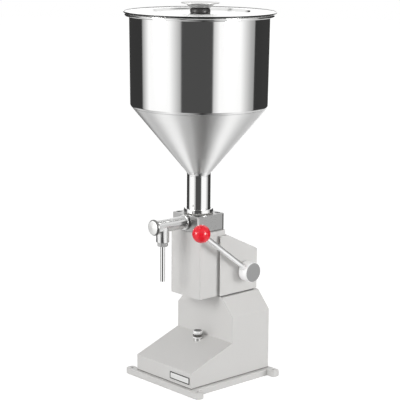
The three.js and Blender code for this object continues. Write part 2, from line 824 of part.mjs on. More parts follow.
const inletGroup = group(0, 0, blockTop + seatGap);
const inletSeatTop = inletBodyHeight - inletTop;
const inletSeatFoot = inletSeatTop - inletSeatHeight;
const inletBallHeight = ballUnderCone(inletBallRadius, inletCageRadius, inletSeatFoot,
  inletMouthRadius, inletSeatTop);

function inletValveBody() {
  return turned([
    [inletFloorHole, -inletShankLength], [inletShankRadius, -inletShankLength],
    [inletShankRadius, 0], [inletBodyRadius, 0],
    [inletBodyRadius, inletBodyHeight - inletTop / 2], [inletBodyRadius - inletTop / 2, inletBodyHeight],
    [inletMouthRadius + inletTop, inletBodyHeight], [inletMouthRadius, inletSeatTop],
    [inletCageRadius, inletSeatFoot], [inletCageRadius, inletFloor], [inletFloorHole, inletFloor],
  ], small);
}

// The highest middle of a coil's wire that stays clear of the ball above it
function coilTop(ballHeight, ball, radius, wire) {
  return ballHeight - Math.sqrt((ball + wire + seatGap) ** 2 - radius ** 2);
}

piece('inlet_valve_body', inletValveBody(), 'satin', inletGroup);
piece('inlet_ball', solid(new THREE.SphereGeometry(inletBallRadius, tiny, tiny / 2)), 'chrome', inletGroup,
  0, 0, inletBallHeight);
piece('inlet_spring', coil(inletSpringRadius, inletSpringWire, inletSpringTurns,
  inletFloor + inletSpringWire + seatGap,
  coilTop(inletBallHeight, inletBallRadius, inletSpringRadius, inletSpringWire)), 'satin', inletGroup);

// Hopper, collar and gasket

const hopperGroup = group(0, 0, collarFoot);

// The wall's middle corners, from the foot up, as [radius, height, rounding]
function hopperWallPath(shift, rounding) {
  return [
    [neckRadius - shift, 0],
    [neckRadius - shift, neckLength, neckRound + rounding],
    [bowlFootRadius - shift, neckLength + coneHeight, seamRound - rounding],
    [bowlRadius - shift, neckLength + coneHeight + bowlHeight - beadRadius],
  ];
}

function wholeHopper() {
  const outside = roundedPath(hopperWallPath(0, 0));
  const inside = roundedPath(hopperWallPath(hopperWall, hopperWall)).reverse();
  const beadHeight = neckLength + coneHeight + bowlHeight;
  const bead = arc(bowlRadius + beadReach, beadHeight, beadRadius, 225, 450, 5);
  const lip = [[bowlRadius - hopperWall / 2, beadHeight + beadRadius]];
  return turned([...outside, ...bead, ...lip, ...inside], broad);
}

// One sheet of the hopper, from weld to weld
function hopperSheet(z0, z1) {
  return hopperForm.intersect(disc(lidRadius, z0, z1, broad));
}

function collar() {
  const inner = neckRadius + seatGap;
  return turned([
    [inner, 0], [collarRadius - collarBevel, 0], [collarRadius, collarBevel],
    [collarRadius, collarHeight - collarBevel], [collarRadius - collarBevel, collarHeight],
    [inner, collarHeight],
  ]);
}

const hopperForm = wholeHopper();
const neckWeld = neckLength - neckWeldDrop;
const bowlWeld = neckLength + coneHeight - bowlWeldDrop;
piece('hopper_neck_tube', hopperSheet(0, neckWeld), 'polished', hopperGroup);
piece('hopper_cone_sheet', hopperSheet(neckWeld + seatGap, bowlWeld), 'polished', hopperGroup);
piece('hopper_bowl_sheet', hopperSheet(bowlWeld + seatGap, hopperTop), 'polished', hopperGroup);
piece('hopper_collar', collar(), 'polished', hopperGroup);
piece('collar_gasket', ring(inletBodyRadius + seatGap, collarRadius - gasketInset, 0, gasketThick),
  'rubber', hopperGroup, 0, 0, gasketFoot - collarFoot);

// Lid and knob. The group's origin is at the top of the hopper's bead.

const lidGroup = group(0, 0, hopperTop + beadRadius + seatGap);
const lidPanel = lidRise + lidCone - lidPanelDrop; // underside of the sunk middle
const lidTop = lidPanel + lidThick;

function lid() {
  const skirt = bowlRadius - hopperWall - lidSkirtFit;
  const ridge = lidRise + lidCone;
  const step = lidPanelRadius + lidPanelDrop;
  return turned([
    [0, lidPanel], [lidPanelRadius + lidThick / 2, lidPanel], [step + lidThick / 2, ridge],
    [skirt - lidThick, lidRise], [skirt - lidThick, -lidSkirtDrop], [skirt, -lidSkirtDrop], [skirt, 0],
    ...arc(lidRadius - lidRoll / 2, lidRoll / 2, lidRoll / 2, 270, 495, 5),
    [lidRadius - lidRoll, lidRise + lidThick], [skirt, lidRise + lidThick],
    [step, ridge + lidThick], [lidPanelRadius, lidPanel + lidThick], [0, lidPanel + lidThick],
  ], broad);
}

function knobFoot() {
  const foot = turned(roundedPath([
    [0, 0], [knobFootRadius, 0, knobFootRound / 4], [knobFootRadius, knobFootHeight, knobFootRound],
    [0, knobFootHeight],
  ]));
  return cut(foot, disc(knobScrewRadius + seatGap, -overrun, knobFootHeight + overrun, tiny));
}

function knobCap() {
  const edge = knobCapEdge / 2;
  const cap = turned([
    [0, 0], [knobWaist, 0], [knobShoulder, knobShoulderLift],
    ...arc(knobCapRadius - edge, knobCapLift + edge, edge, -75, 75, 3),
    [knobWaist, knobCapHeight - edge / 4], [0, knobCapHeight],
  ]);
  return cut(cap, disc(knobScrewRadius + seatGap, -overrun, knobCapHeight * socketDepthShare, tiny));
}

function knobScrew() {
  return socketScrew(knobScrewRadius, knobScrewLength, smallHead, smallHeadHeight / 2).rotate([180, 0, 0]);
}

const lidWithHole = cut(lid(), disc(knobScrewRadius + seatGap, -overrun, lidTop + overrun, tiny));
piece('lid', lidWithHole, 'polished', lidGroup);
piece('lid_knob_foot', knobFoot(), 'black', lidGroup, 0, 0, lidTop + seatGap);
piece('lid_knob_cap', knobCap(), 'polished', lidGroup, 0, 0, lidTop + knobFootHeight + 2 * seatGap);
piece('lid_screw', knobScrew(), 'iron', lidGroup,
  0, 0, lidPanel - smallHeadHeight / 2 - seatGap);

// Outlet. In its group, +Z runs forward out of the block's face, and +Y is up.

const outletGroup = group(0, -blockFront, outletAxis);
outletGroup.rotation.x = Math.PI / 2;

// Turns a solid about the branch's axis, so that its +Z points down along the branch
function downBranch(body) {
  return body.rotate([90, 0, 0]).translate([0, 0, branchOut]);
}

function outletTube() {
  const flangeBack = flangeGasket + 2 * seatGap;
  const outside = turned([
    [0, -tubeSpigotLength], [tubeSpigotRadius, -tubeSpigotLength], [tubeSpigotRadius, flangeBack],
    [flangeRadius - blockBevel, flangeBack], [flangeRadius, flangeBack + blockBevel],
    [flangeRadius, flangeBack + flangeThick - blockBevel],
    [flangeRadius - blockBevel, flangeBack + flangeThick],
    [tubeRadius, flangeBack + flangeThick], [tubeRadius, tubeLength], [0, tubeLength],
  ]);
  const branch = downBranch(bevelledDisc(branchRadius, 0, branchDrop, blockBevel));
  const bore = disc(tubeBore, -tubeSpigotLength - overrun, tubeLength + overrun);
  const seatTop = branchSeatTop;
  const seatFoot = seatTop + branchSeatHeight;
  const branchHollow = downBranch(turned([
    [0, 0], [branchMouth, 0], [branchMouth, seatTop], [branchBore, seatFoot],
    [branchBore, branchDrop + overrun], [0, branchDrop + overrun],
  ], small));
  return cut(join(outside, branch), bore, branchHollow);
}

function outletCap() {
  const back = seatGap;
  return turned([
    [0, -capSpigotLength], [tubeBore - seatGap, -capSpigotLength], [tubeBore - seatGap, back],
    [capRadius - blockBevel, back], [capRadius, back + blockBevel], [capRadius, back + capRim],
    ...roundedPath([
      [capRadius, back + capRim], [capFaceRadius, back + capRim + capDome * 0.8, capDome / 2],
      [0, back + capRim + capDome],
    ]),
  ]);
}

// Hexagonal head with a shank up into the branch. Its +Z points down.
function nozzleNut() {
  const head = raised(hexagon(nutAcross), 0, nutHeight);
  const bevelled = head.intersect(bevelledDisc(nutAcross / Math.sqrt(3), 0, nutHeight, blockBevel, small));
  const shank = disc(branchBore - seatGap, -nutShankLength - seatGap, nutHeight / 2, small);
  const hole = disc(nozzleRadius + seatGap, -nutShankLength - overrun, nutHeight + overrun, small);
  return cut(join(bevelled, shank), hole);
}

// Thin tube with a flange that the nut holds. Its +Z points down.
function nozzle() {
  const flangeTop = -nozzleFlange;
  return turned([
    [nozzleBore, flangeTop], [branchBore - seatGap, flangeTop], [branchBore - seatGap, 0],
    [nozzleRadius, 0], [nozzleRadius, nozzleLength], [nozzleBore, nozzleLength],
  ], small);
}

const nozzleTop = branchDrop - nutShankLength - seatGap; // below the tube's axis
const nozzleLength = branchDrop + seatGap + nutHeight + nozzleReach - nozzleTop;
const outletBallDrop = branchSeatTop + branchSeatHeight
  - ballUnderCone(outletBallRadius, branchBore, 0, branchMouth, branchSeatHeight);
const outletSpringFoot = nozzleTop - nozzleFlange - outletSpringWire - seatGap;
const outletSpringHead = outletBallDrop
  + Math.sqrt((outletBallRadius + outletSpringWire + seatGap) ** 2 - outletSpringRadius ** 2);

piece('outlet_tube', outletTube(), 'polished', outletGroup);
piece('outlet_gasket', ring(tubeSpigotRadius + seatGap, flangeRadius - gasketInset, 0, flangeGasket),
  'rubber', outletGroup, 0, 0, seatGap);
piece('outlet_cap', outletCap(), 'polished', outletGroup, 0, 0, tubeLength);

// Nut, nozzle, ball and spring hang straight down from the tube's axis.
const branchGroup = group(0, 0, branchOut, outletGroup);
branchGroup.rotation.x = Math.PI / 2;
piece('nozzle_nut', nozzleNut(), 'polished', branchGroup, 0, 0, branchDrop + seatGap);
piece('nozzle', nozzle(), 'polished', branchGroup, 0, 0, nozzleTop);
piece('outlet_ball', solid(new THREE.SphereGeometry(outletBallRadius, tiny, tiny / 2)), 'chrome', branchGroup,
  0, 0, outletBallDrop);
piece('outlet_spring', coil(outletSpringRadius, outletSpringWire, outletSpringTurns,
  outletSpringHead, outletSpringFoot), 'satin', branchGroup);

// Mechanism frame and housing

const rearGroup = group(0, 0, columnFoot);

function mechanismFrame() {
  const half = frameWidth / 2;
  const side = [
    [frameFront, 0], [frameBack, 0], [frameBack, shaftRise + frameRearRise],
    [frameFront + frameFrontPlate, frameHeight], [frameFront, frameHeight],
  ];
  let frame = sideways(side, -half, half);
  const between = bar(-cheekInside, cheekInside, frameFront + frameFrontPlate, frameBack + overrun,
    frameFootThick, frameHeight + overrun);
  const window = bar(-frameWindowRadius, frameWindowRadius, frameFront - overrun,
    frameFront + frameFrontPlate + overrun, windowLow, windowHigh);
  const bearing = alongX(disc(shaftRadius + turnGap + bushWall + seatGap, -half - overrun, half + overrun))
    .translate([0, shaftSetback, shaftRise]);
  frame = cut(frame, between, window, bearing);
  [-frameScrewX, frameScrewX].forEach((x) => {
    const hole = disc(frameScrewRadius + seatGap, -overrun, frameFrontPlate + 2 * overrun, tiny)
      .rotate([-90, 0, 0]).translate([x, frameFront, frameHeight - screwDrop]);
    frame = cut(frame, hole);
  });
  return frame;
}

// Side view of the housing as [y, z] points, grown or shrunk by the same distance all round
function housingSide(shrink) {
  const slopeStart = columnBack + housingSheet / 2;
  return inset([
    [housingFront, 0], [housingBack, 0], [housingBack, housingRearHeight],
    [slopeStart, housingHeight], [housingFront, housingHeight],
  ], shrink);
}

function housing() {
  const half = housingWidth / 2;
  const inner = half - housingSheet;
  const outside = sideways(housingSide(0), -half, half);
  const inside = sideways(housingSide(housingSheet), -inner, inner);
  const mouth = bar(-inner, inner, housingFront - overrun, housingBack - housingSheet,
    -overrun, housingSheet + weldDistance);
  const front = bar(-inner, inner, housingFront - overrun, housingFront + 2 * housingSheet,
    -overrun, housingHeight - housingSheet);
  const columnSpace = bar(-columnWidth / 2 - seatGap, columnWidth / 2 + seatGap,
    housingFront - overrun, columnBack + seatGap, -overrun, housingHeight + overrun);
  let cover = cut(outside, inside, mouth, front, columnSpace);
  const flangeFront = columnBack + seatGap + housingSheet;
  [-1, 1].forEach((side) => {
    const edge = side * (inner + housingSheet / 2);
    const inward = side * (frameWidth / 2 + seatGap);
    cover = join(cover, bar(Math.min(edge, inward), Math.max(edge, inward), flangeFront,
      housingBack - housingSheet / 2, 0, housingSheet));
  });
  const hole = alongX(disc(shaftHoleRadius, 0, half + overrun)).translate([0, shaftSetback, shaftRise]);
  const rear = bar(-inner, inner, housingBack - housingFlange, housingBack - housingSheet / 2,
    0, housingSheet);
  return cut(join(cover, rear), hole);
}

function frameScrew() {
  return socketScrew(frameScrewRadius, frameScrewLength, smallHead, smallHeadHeight).rotate([-90, 0, 0]);
}

piece('mechanism_frame', mechanismFrame(), 'iron', rearGroup);
piece('housing', housing(), 'paint', rearGroup);
[-frameScrewX, frameScrewX].forEach((x, i) => {
  piece(`frame_screw_${i + 1}`, frameScrew(), 'iron', rearGroup, x,
    frameFront + frameFrontPlate + smallHeadHeight + seatGap, frameHeight - screwDrop);
});

// Shaft, bushes, rocker arm, hub, lever rod and ball. The group's origin is on the shaft's axis at x = 0.

const shaftGroup = group(0, shaftSetback, shaftHeight);
const leverGroup = group(0, 0, 0, shaftGroup);
leverGroup.rotation.x = -THREE.MathUtils.degToRad(leverAngle);
const armGroup = group(0, 0, 0, shaftGroup);
armGroup.rotation.x = -halfSwing;

const bushOuter = shaftRadius + turnGap + bushWall;
const armHubHalf = cheekInside - bushFlange - 2 * seatGap;
const clipX = frameWidth / 2 + seatGap;

function bush() {
  const inner = shaftRadius + turnGap;
  const length = frameCheek;
  return turned([
    [inner, -bushFlange - seatGap], [bushOuter + bushFlangeReach, -bushFlange - seatGap],
    [bushOuter + bushFlangeReach, -seatGap], [bushOuter, -seatGap], [bushOuter, length], [inner, length],
  ]);
}

function shaft() {
  const left = -frameWidth / 2 - shaftTail;
  const right = hubFoot + hubBoreDepth - seatGap;
  const bevel = clipGroove;
  const root = shaftRadius - clipGroove;
  const grooveIn = -clipX + seatGap / 2;
  const grooveOut = -clipX - clipThick - seatGap / 2;
  return alongX(turned([
    [0, left], [shaftRadius - bevel, left], [shaftRadius, left + bevel],
    [shaftRadius, grooveOut], [root, grooveOut], [root, grooveIn], [shaftRadius, grooveIn],
    [shaftRadius, right - bevel], [shaftRadius - bevel, right], [0, right],
  ]));
}

function shaftClip() {
  const inner = shaftRadius - clipGroove + seatGap;
  const flat = ring(inner, shaftRadius + clipReach, 0, clipThick, small);
  const mouth = bar(0, shaftRadius + clipReach + overrun, -clipMouth / 2, clipMouth / 2,
    -overrun, clipThick + overrun);
  return alongX(cut(flat, mouth));
}

// The arm lies along -Y from the hub to the eye of the cross pin
function rockerArm() {
  const hub = alongX(ring(shaftRadius + seatGap, armHubRadius, -armHubHalf, armHubHalf));
  const web = sideways([
    ...arc(-armLength, 0, armEyeRadius, 90, 270, 10),
    ...arc(0, 0, armHubRadius - seatGap, -75, 75, 6),
  ], -armThick / 2, armThick / 2);
  const bore = alongX(disc(shaftRadius + seatGap, -armHubHalf, armHubHalf));
  const eye = alongX(disc(pinRadius + seatGap / 2, -armThick, armThick)).translate([0, -armLength, 0]);
  return cut(join(hub, web), bore, eye);
}

function crossPin() {
  return alongX(bevelledDisc(pinRadius, -pinLength / 2, pinLength / 2, pinRadius / 8, small));
}

// In the lever's group the rod runs along -Y. The set screw comes from the other side.
function leverHub() {
  const bevel = hubBevel;
  const body = turned([
    [0, 0], [hubRadius - bevel, 0], [hubRadius, bevel], [hubRadius, hubLength - bevel],
    [hubRadius - bevel, hubLength], [0, hubLength],
  ]);
  const bore = disc(shaftRadius + turnGap, -overrun, hubBoreDepth, middle);
  const toRod = (tool) => forward(tool).translate([0, 0, rodPlane]);
  const rodHole = toRod(disc(leverRodRadius + seatGap / 2, leverRodSeat - seatGap, hubRadius + overrun));
  const spotFace = toRod(disc(spotFaceRadius, hubRadius - spotFaceDepth, hubRadius + overrun));
  const screwHole = toRod(disc(setScrewRadius + seatGap / 2, -hubRadius - overrun, 0, tiny));
  return alongX(cut(body, bore, rodHole, spotFace, screwHole));
}

function leverRod() {
  const end = leverLength - ballRadius + ballHoleDepth - 2 * seatGap;
  return forward(bevelledDisc(leverRodRadius, leverRodSeat, end, leverRodRadius / 8, small));
}

function ball() {
  const sphere = solid(new THREE.SphereGeometry(ballRadius, middle, tiny).rotateX(Math.PI / 2));
  const hole = disc(leverRodRadius + seatGap / 2, -ballRadius - overrun, -ballRadius + ballHoleDepth);
  return forward(cut(sphere, hole));
}

function setScrew() {
  const screw = bevelledDisc(setScrewRadius, 0, setScrewLength, setScrewRadius / 8, tiny);
  const socket = raised(hexagon(2 * setScrewRadius * socketShare),
    setScrewLength * (1 - socketDepthShare), setScrewLength + overrun);
  return cut(screw, socket).rotate([-90, 0, 0]);
}

piece('shaft_bush_right', alongX(bush()), 'brass', shaftGroup, cheekInside);
piece('shaft_bush_left', alongX(bush()).rotate([0, 180, 0]), 'brass', shaftGroup, -cheekInside);
piece('lever_shaft', shaft(), 'satin', armGroup);
piece('shaft_clip', shaftClip(), 'iron', armGroup, -clipX - clipThick);
piece('rocker_arm', rockerArm(), 'iron', armGroup);
piece('cross_pin', crossPin(), 'satin', armGroup, 0, -armLength);
piece('dust_washer', alongX(ring(shaftRadius + seatGap, washerRadius, 0, washerThick)), 'rubber',
  shaftGroup, housingWidth / 2 + seatGap);
piece('lever_hub', leverHub(), 'chrome', leverGroup, hubFoot);
piece('lever_rod', leverRod(), 'chrome', leverGroup, rodX);
piece('lever_ball', ball(), 'red', leverGroup, rodX, -leverLength);
piece('hub_set_screw', setScrew(), 'iron', leverGroup, rodX, shaftRadius + 2 * seatGap);

export default machine;
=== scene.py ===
"""Shown model of a hand-lever filling machine.

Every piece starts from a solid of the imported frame. Turned pieces are spun again with many more steps,
folded and cast pieces get rounded edges, and each one gets its own worked surface.
"""

from __future__ import annotations

import json
import logging
import math
from collections.abc import Callable, Iterable, Sequence
from dataclasses import dataclass
from enum import Enum

import bmesh
import bpy
from mathutils import Matrix, Vector

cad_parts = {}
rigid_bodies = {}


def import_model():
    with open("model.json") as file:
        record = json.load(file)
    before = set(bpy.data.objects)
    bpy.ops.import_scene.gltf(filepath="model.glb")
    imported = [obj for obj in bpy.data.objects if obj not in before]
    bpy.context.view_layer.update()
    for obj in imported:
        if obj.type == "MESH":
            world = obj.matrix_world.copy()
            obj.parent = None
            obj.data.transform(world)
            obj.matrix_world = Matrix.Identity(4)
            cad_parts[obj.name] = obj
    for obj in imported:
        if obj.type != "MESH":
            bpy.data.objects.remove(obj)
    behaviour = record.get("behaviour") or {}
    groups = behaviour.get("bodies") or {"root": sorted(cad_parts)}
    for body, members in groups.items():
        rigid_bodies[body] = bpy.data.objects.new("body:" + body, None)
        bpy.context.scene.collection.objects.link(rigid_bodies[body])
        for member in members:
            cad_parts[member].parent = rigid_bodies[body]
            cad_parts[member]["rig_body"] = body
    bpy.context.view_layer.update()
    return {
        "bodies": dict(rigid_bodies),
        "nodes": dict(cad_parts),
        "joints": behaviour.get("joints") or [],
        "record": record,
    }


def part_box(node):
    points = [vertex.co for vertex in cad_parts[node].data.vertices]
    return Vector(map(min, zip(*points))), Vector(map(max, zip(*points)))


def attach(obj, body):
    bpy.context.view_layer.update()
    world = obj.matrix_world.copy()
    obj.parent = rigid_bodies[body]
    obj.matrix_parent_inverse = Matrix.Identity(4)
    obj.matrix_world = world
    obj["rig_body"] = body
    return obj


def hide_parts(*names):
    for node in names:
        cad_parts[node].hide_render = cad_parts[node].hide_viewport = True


LOG = logging.getLogger("filling_machine")

Colour = tuple[float, float, float]
Point = tuple[float, float, float]
Pair = tuple[float, float]
Profile = list[Pair]
Form = bmesh.types.BMesh
Object = bpy.types.Object
Tree = bpy.types.NodeTree
Node = bpy.types.Node
Socket = bpy.types.NodeSocket
Outputs = bpy.types.NodeOutputs

MM = 0.001
WELD = 2e-6  # places this near count as one
CELL = 4 * WELD  # grid in which the ends of an outline's stretches meet
CLOSED_GAP = 8 * WELD  # an outline whose ends are this near is closed
RIM_DEPTH = 20 * WELD  # how far inside the widest radius a corner still counts as on it
SECTION_REACH = 1e-9  # how near a corner counts as on the plane, where a section is read
SPLIT_REACH = 1e-6  # the same where a plane parts two finishes
SHADING_WEIGHT = 60  # how much large faces lead the shading of rounded edges
LEAST_TURN = 1e-3  # radians between two facets, or two stretches of an outline
FLAT_ANGLE = math.radians(0.5)  # between faces that count as one
FACING = 0.9  # part of a normal from which a face looks that way


class Axis(Enum):
    """Direction that a turned piece's axis points in."""

    UP = (0.0, 0.0, 1.0)
    FRONT = (0.0, -1.0, 0.0)


def add_object(name: str, data: bpy.types.ID) -> Object:
    """Puts an object into the scene.

    Args:
        name: Its name.
        data: The mesh, lamp or camera that it shows.

    Returns:
        The object.
    """
    made = bpy.data.objects.new(name, data)
    bpy.context.scene.collection.objects.link(made)
    return made


def add_mesh(form: Form, name: str, materials: Iterable[bpy.types.Material]) -> Object:
    """Turns a form into an object.

    Args:
        form: The form. It is freed.
        name: Name of the object and its mesh.
        materials: What its faces get, by their material numbers.

    Returns:
        The object.
    """
    mesh = bpy.data.meshes.new(name)
    form.to_mesh(mesh)
    form.free()
    for material in materials:
        mesh.materials.append(material)
    return add_object(name, mesh)


# Node trees


class Graph:
    """Short way to put nodes into one node tree."""

    def __init__(self, tree: Tree) -> None:
        """Keeps the tree that the nodes go into."""
        self.tree = tree

    def node(self, kind: str, values: dict[str, object] | None = None,
             **settings: object) -> Node:
        """Adds a node.

        Args:
            kind: Blender's name of the node type.
            values: What its inputs get, by their names.
            settings: Attributes to set on the node.

        Returns:
            The new node.
        """
        made = self.tree.nodes.new(kind)
        for name, value in settings.items():
            setattr(made, name, value)
        self.preset(made, values or {})
        return made

    def preset(self, made: Node, values: dict[str, object]) -> None:
        """Feeds a node's inputs by their names."""
        for label, value in values.items():
            self.feed(made.inputs[label], value)

    def feed(self, target: Socket, value: object) -> None:
        """Sets an input, or joins it to an output.

        Args:
            target: The input.
            value: A number, a colour or an output.
        """
        if isinstance(value, Socket):
            self.tree.links.new(value, target)
        else:
            target.default_value = value

    def math(self, operation: str, *values: object, clamp: bool = False) -> Socket:
        """Adds a Math node.

        Args:
            operation: The node's operation.
            values: Numbers or outputs for its inputs.
            clamp: Whether the result is kept between 0 and 1.

        Returns:
            The node's output.
        """
        made = self.node("ShaderNodeMath", operation=operation, use_clamp=clamp)
        for socket, value in zip(made.inputs, values):
            self.feed(socket, value)
        return made.outputs[0]

    def swing(self, noise: Socket, amount: object) -> Socket:
        """Turns a noise between 0 and 1 into a signed change of the given size."""
        return self.math("MULTIPLY", self.math("SUBTRACT", noise, 0.5), amount)

    def spread(self, value: object, low: float, high: float, start: float = 0.0, end: float = 1.0,
               smooth: bool = False) -> Socket:
        """Maps a value from one range to another.

        Args:
            value: The number or output to map.
            low: Lower end of what comes in.
            high: Upper end of what comes in.
            start: What the lower end turns into.
            end: What the upper end turns into.
            smooth: Whether the step between is eased.

        Returns:
            The mapped value.
        """
        made = self.node("ShaderNodeMapRange",
                         {"Value": value, "From Min": low, "From Max": high, "To Min": start,
                          "To Max": end},
                         interpolation_type="SMOOTHSTEP" if smooth else "LINEAR")
        return made.outputs["Result"]

    def blend(self, share: object, first: object, second: object,
              mode: str = "MIX") -> Socket:
        """Mixes two colours.

        Args:
            share: Part of the second one that shows.
            first: Colour or output.
            second: Colour or output.
            mode: How they mix.

        Returns:
            The mixed colour.
        """
        made = self.node("ShaderNodeMix", data_type="RGBA", blend_type=mode)
        self.preset(made, {"Factor": share, "A": first, "B": second})
        return made.outputs["Result"]


def rgba(colour: Colour) -> tuple[float, float, float, float]:
    """Returns the colour with full opacity added."""
    return (*colour, 1.0)


def grey(level: float, warmth: float = 0.005) -> Colour:
    """Returns a grey with a little less blue in it."""
    return level, level, level - warmth


class Effect(Enum):
    """Effects that several finishes share, each of them one node group."""

    GRAIN = "fine_grain"
    MARKS = "handling_marks"
    LINES = "tool_lines"

    def tree(self) -> Tree:
        """Returns the effect's node group, made on first use."""
        return bpy.data.node_groups.get(self.value) or EFFECT_MAKERS[self]()

    def place(self, graph: Graph, **values: object) -> Outputs:
        """Puts the effect into a material and returns its outputs."""
        return graph.node("ShaderNodeGroup", values, node_tree=self.tree()).outputs


def new_group(effect: Effect, inputs: dict[str, object], outputs: Iterable[str]) -> tuple[
        Graph, Outputs, bpy.types.NodeInputs]:
    """Starts an effect's node group.

    Args:
        effect: The effect.
        inputs: Name and default of each input, a number or a vector.
        outputs: Name of each output. All are numbers.

    Returns:
        The graph that fills the group, what comes into it, and what goes out.
    """
    group = bpy.data.node_groups.new(effect.value, "ShaderNodeTree")
    for label, value in inputs.items():
        kind = "NodeSocketVector" if isinstance(value, tuple) else "NodeSocketFloat"
        group.interface.new_socket(label, in_out="INPUT", socket_type=kind).default_value = value
    for label in outputs:
        group.interface.new_socket(label, in_out="OUTPUT", socket_type="NodeSocketFloat")
    graph = Graph(group)
    return graph, graph.node("NodeGroupInput").outputs, graph.node("NodeGroupOutput").inputs


def make_grain() -> Tree:
    """Makes the fine skin that sprayed, moulded and cast surfaces have.

    Returns:
        A group with the skin's height and a faint shade of colour.
    """
    graph, given, result = new_group(Effect.GRAIN, {"Scale": 900.0, "Shade": 0.04}, ("Height", "Tone"))
    skin_share = 0.4
    place = graph.node("ShaderNodeTexCoord").outputs["Object"]
    skin = graph.node("ShaderNodeTexNoise", {"Vector": place, "Scale": given["Scale"], "Detail": 3.0})
    patches = graph.node("ShaderNodeTexNoise", {"Vector": place, "Scale": 14.0, "Detail": 4.0})
    both = graph.math("ADD", graph.math("MULTIPLY", skin.outputs["Fac"], skin_share),
                      graph.math("MULTIPLY", patches.outputs["Fac"], 1.0 - skin_share))
    graph.feed(result["Height"], skin.outputs["Fac"])
    graph.feed(result["Tone"], graph.math("ADD", 1.0, graph.swing(both, given["Shade"])))
    return graph.tree


def make_marks() -> Tree:
    """Makes the soft wiped patches and hairline scratches that handling leaves.

    Returns:
        A group with a signed change of roughness and a scratch mask.
    """
    graph, given, result = new_group(Effect.MARKS, {"Amount": 0.05, "Scratches": 0.2}, ("Change", "Mask"))
    place = graph.node("ShaderNodeTexCoord").outputs["Object"]
    wiped = graph.node("ShaderNodeTexNoise", {"Vector": place, "Scale": 22.0, "Detail": 5.0,
                                              "Roughness": 0.6, "Distortion": 0.8})
    stretched = graph.node("ShaderNodeMapping", {"Vector": place, "Rotation": (0.7, 0.4, 1.1),
                                                 "Scale": (40.0, 900.0, 900.0)})
    hair = graph.node("ShaderNodeTexNoise", {"Vector": stretched.outputs["Vector"], "Scale": 1.0,
                                             "Detail": 1.0})
    scratch = graph.spread(hair.outputs["Fac"], low=0.7, high=0.78)
    graph.feed(result["Change"], graph.swing(wiped.outputs["Fac"], given["Amount"]))
    graph.feed(result["Mask"], graph.math("MULTIPLY", scratch, given["Scratches"]))
    return graph.tree


def make_lines() -> Tree:
    """Makes the fine parallel lines that turning, spinning or grinding leaves.

    Returns:
        A group with the lines' height and a signed change of roughness.
    """
    graph, given, result = new_group(Effect.LINES, {"Stretch": (1.0, 1.0, 1.0), "Amount": 0.05},
                                     ("Height", "Change"))
    place = graph.node("ShaderNodeTexCoord").outputs["Object"]
    scaled = graph.node("ShaderNodeVectorMath", operation="MULTIPLY")
    graph.feed(scaled.inputs[0], place)
    graph.feed(scaled.inputs[1], given["Stretch"])
    lines = graph.node("ShaderNodeTexNoise", {"Vector": scaled.outputs[0], "Scale": 1.0, "Detail": 2.0})
    graph.feed(result["Height"], lines.outputs["Fac"])
    graph.feed(result["Change"], graph.swing(lines.outputs["Fac"], given["Amount"]))
    return graph.tree


EFFECT_MAKERS: dict[Effect, Callable[[], Tree]] = {
    Effect.GRAIN: make_grain,
    Effect.MARKS: make_marks,
    Effect.LINES: make_lines,
}


# Finishes


@dataclass(frozen=True)
class Lines:
    """Tool lines: how close they lie along each axis, their change of roughness and their depth."""

    stretch: Point
    change: float
    depth: float


@dataclass(frozen=True)
class Finish:
    """A surface: its colour, how it shines, and the detail worked into it."""

    name: str
    colour: Colour
    roughness: float
    metallic: float = 0.0
    lines: Lines | None = None
    shade: float = 0.04
    skin: float = 900.0
    skin_depth: float = 0.0
    marks: float = 0.05
    scratches: float = 0.0
    coat: float = 0.0
    coat_roughness: float = 0.05
    specular: float = 0.5
    anisotropy: float = 0.0
    turn: float = 0.0
    least_roughness: float = 0.02
    scratch_share: float = 0.5
    scratch_lift: float = 0.25

    def material(self) -> bpy.types.Material:
        """Makes the finish's material on first use.

        Returns:
            The material.
        """
        known = bpy.data.materials.get(self.name)
        if known:
            return known
        made = bpy.data.materials.new(self.name)
        made.use_nodes = True
        made.diffuse_color = rgba(self.colour)
        graph = Graph(made.node_tree)
        shader = made.node_tree.nodes["Principled BSDF"]
        graph.preset(shader, {
            "Metallic": self.metallic, "Specular IOR Level": self.specular, "Coat Weight": self.coat,
            "Coat Roughness": self.coat_roughness, "Anisotropic": self.anisotropy,
            "Anisotropic Rotation": self.turn})
        if self.anisotropy:
            tangent = graph.node("ShaderNodeTangent", direction_type="RADIAL", axis="Z")
            graph.feed(shader.inputs["Tangent"], tangent.outputs["Tangent"])
        grain = Effect.GRAIN.place(graph, Scale=self.skin, Shade=self.shade)
        marks = Effect.MARKS.place(graph, Amount=self.marks, Scratches=self.scratches)
        bared = tuple(min(1.0, self.scratch_share * part + self.scratch_lift) for part in self.colour)
        toned = graph.blend(1.0, rgba(self.colour), grain["Tone"], mode="MULTIPLY")
        graph.feed(shader.inputs["Base Color"], graph.blend(marks["Mask"], toned, rgba(bared)))
        self.shape_surface(graph, shader, grain, marks)
        return made

    def shape_surface(self, graph: Graph, shader: Node, grain: Outputs,
                      marks: Outputs) -> None:
        """Feeds the shader's roughness and normal.

        Args:
            graph: The material's graph.
            shader: The material's shader.
            grain: What the grain effect puts out.
            marks: What the marks effect puts out.
        """
        rough = graph.math("ADD", self.roughness, marks["Change"])
        height = graph.math("MULTIPLY", grain["Height"], self.skin_depth)
        if self.lines:
            lines = Effect.LINES.place(graph, Stretch=self.lines.stretch, Amount=self.lines.change)
            rough = graph.math("ADD", rough, lines["Change"])
            height = graph.math("ADD", height, graph.math("MULTIPLY", lines["Height"], self.lines.depth))
        rough = graph.math("MAXIMUM", rough, self.least_roughness, clamp=True)
        bump = graph.node("ShaderNodeBump", {"Distance": 1.0, "Strength": 1.0, "Height": height})
        graph.preset(shader, {"Roughness": rough, "Normal": bump.outputs["Normal"]})


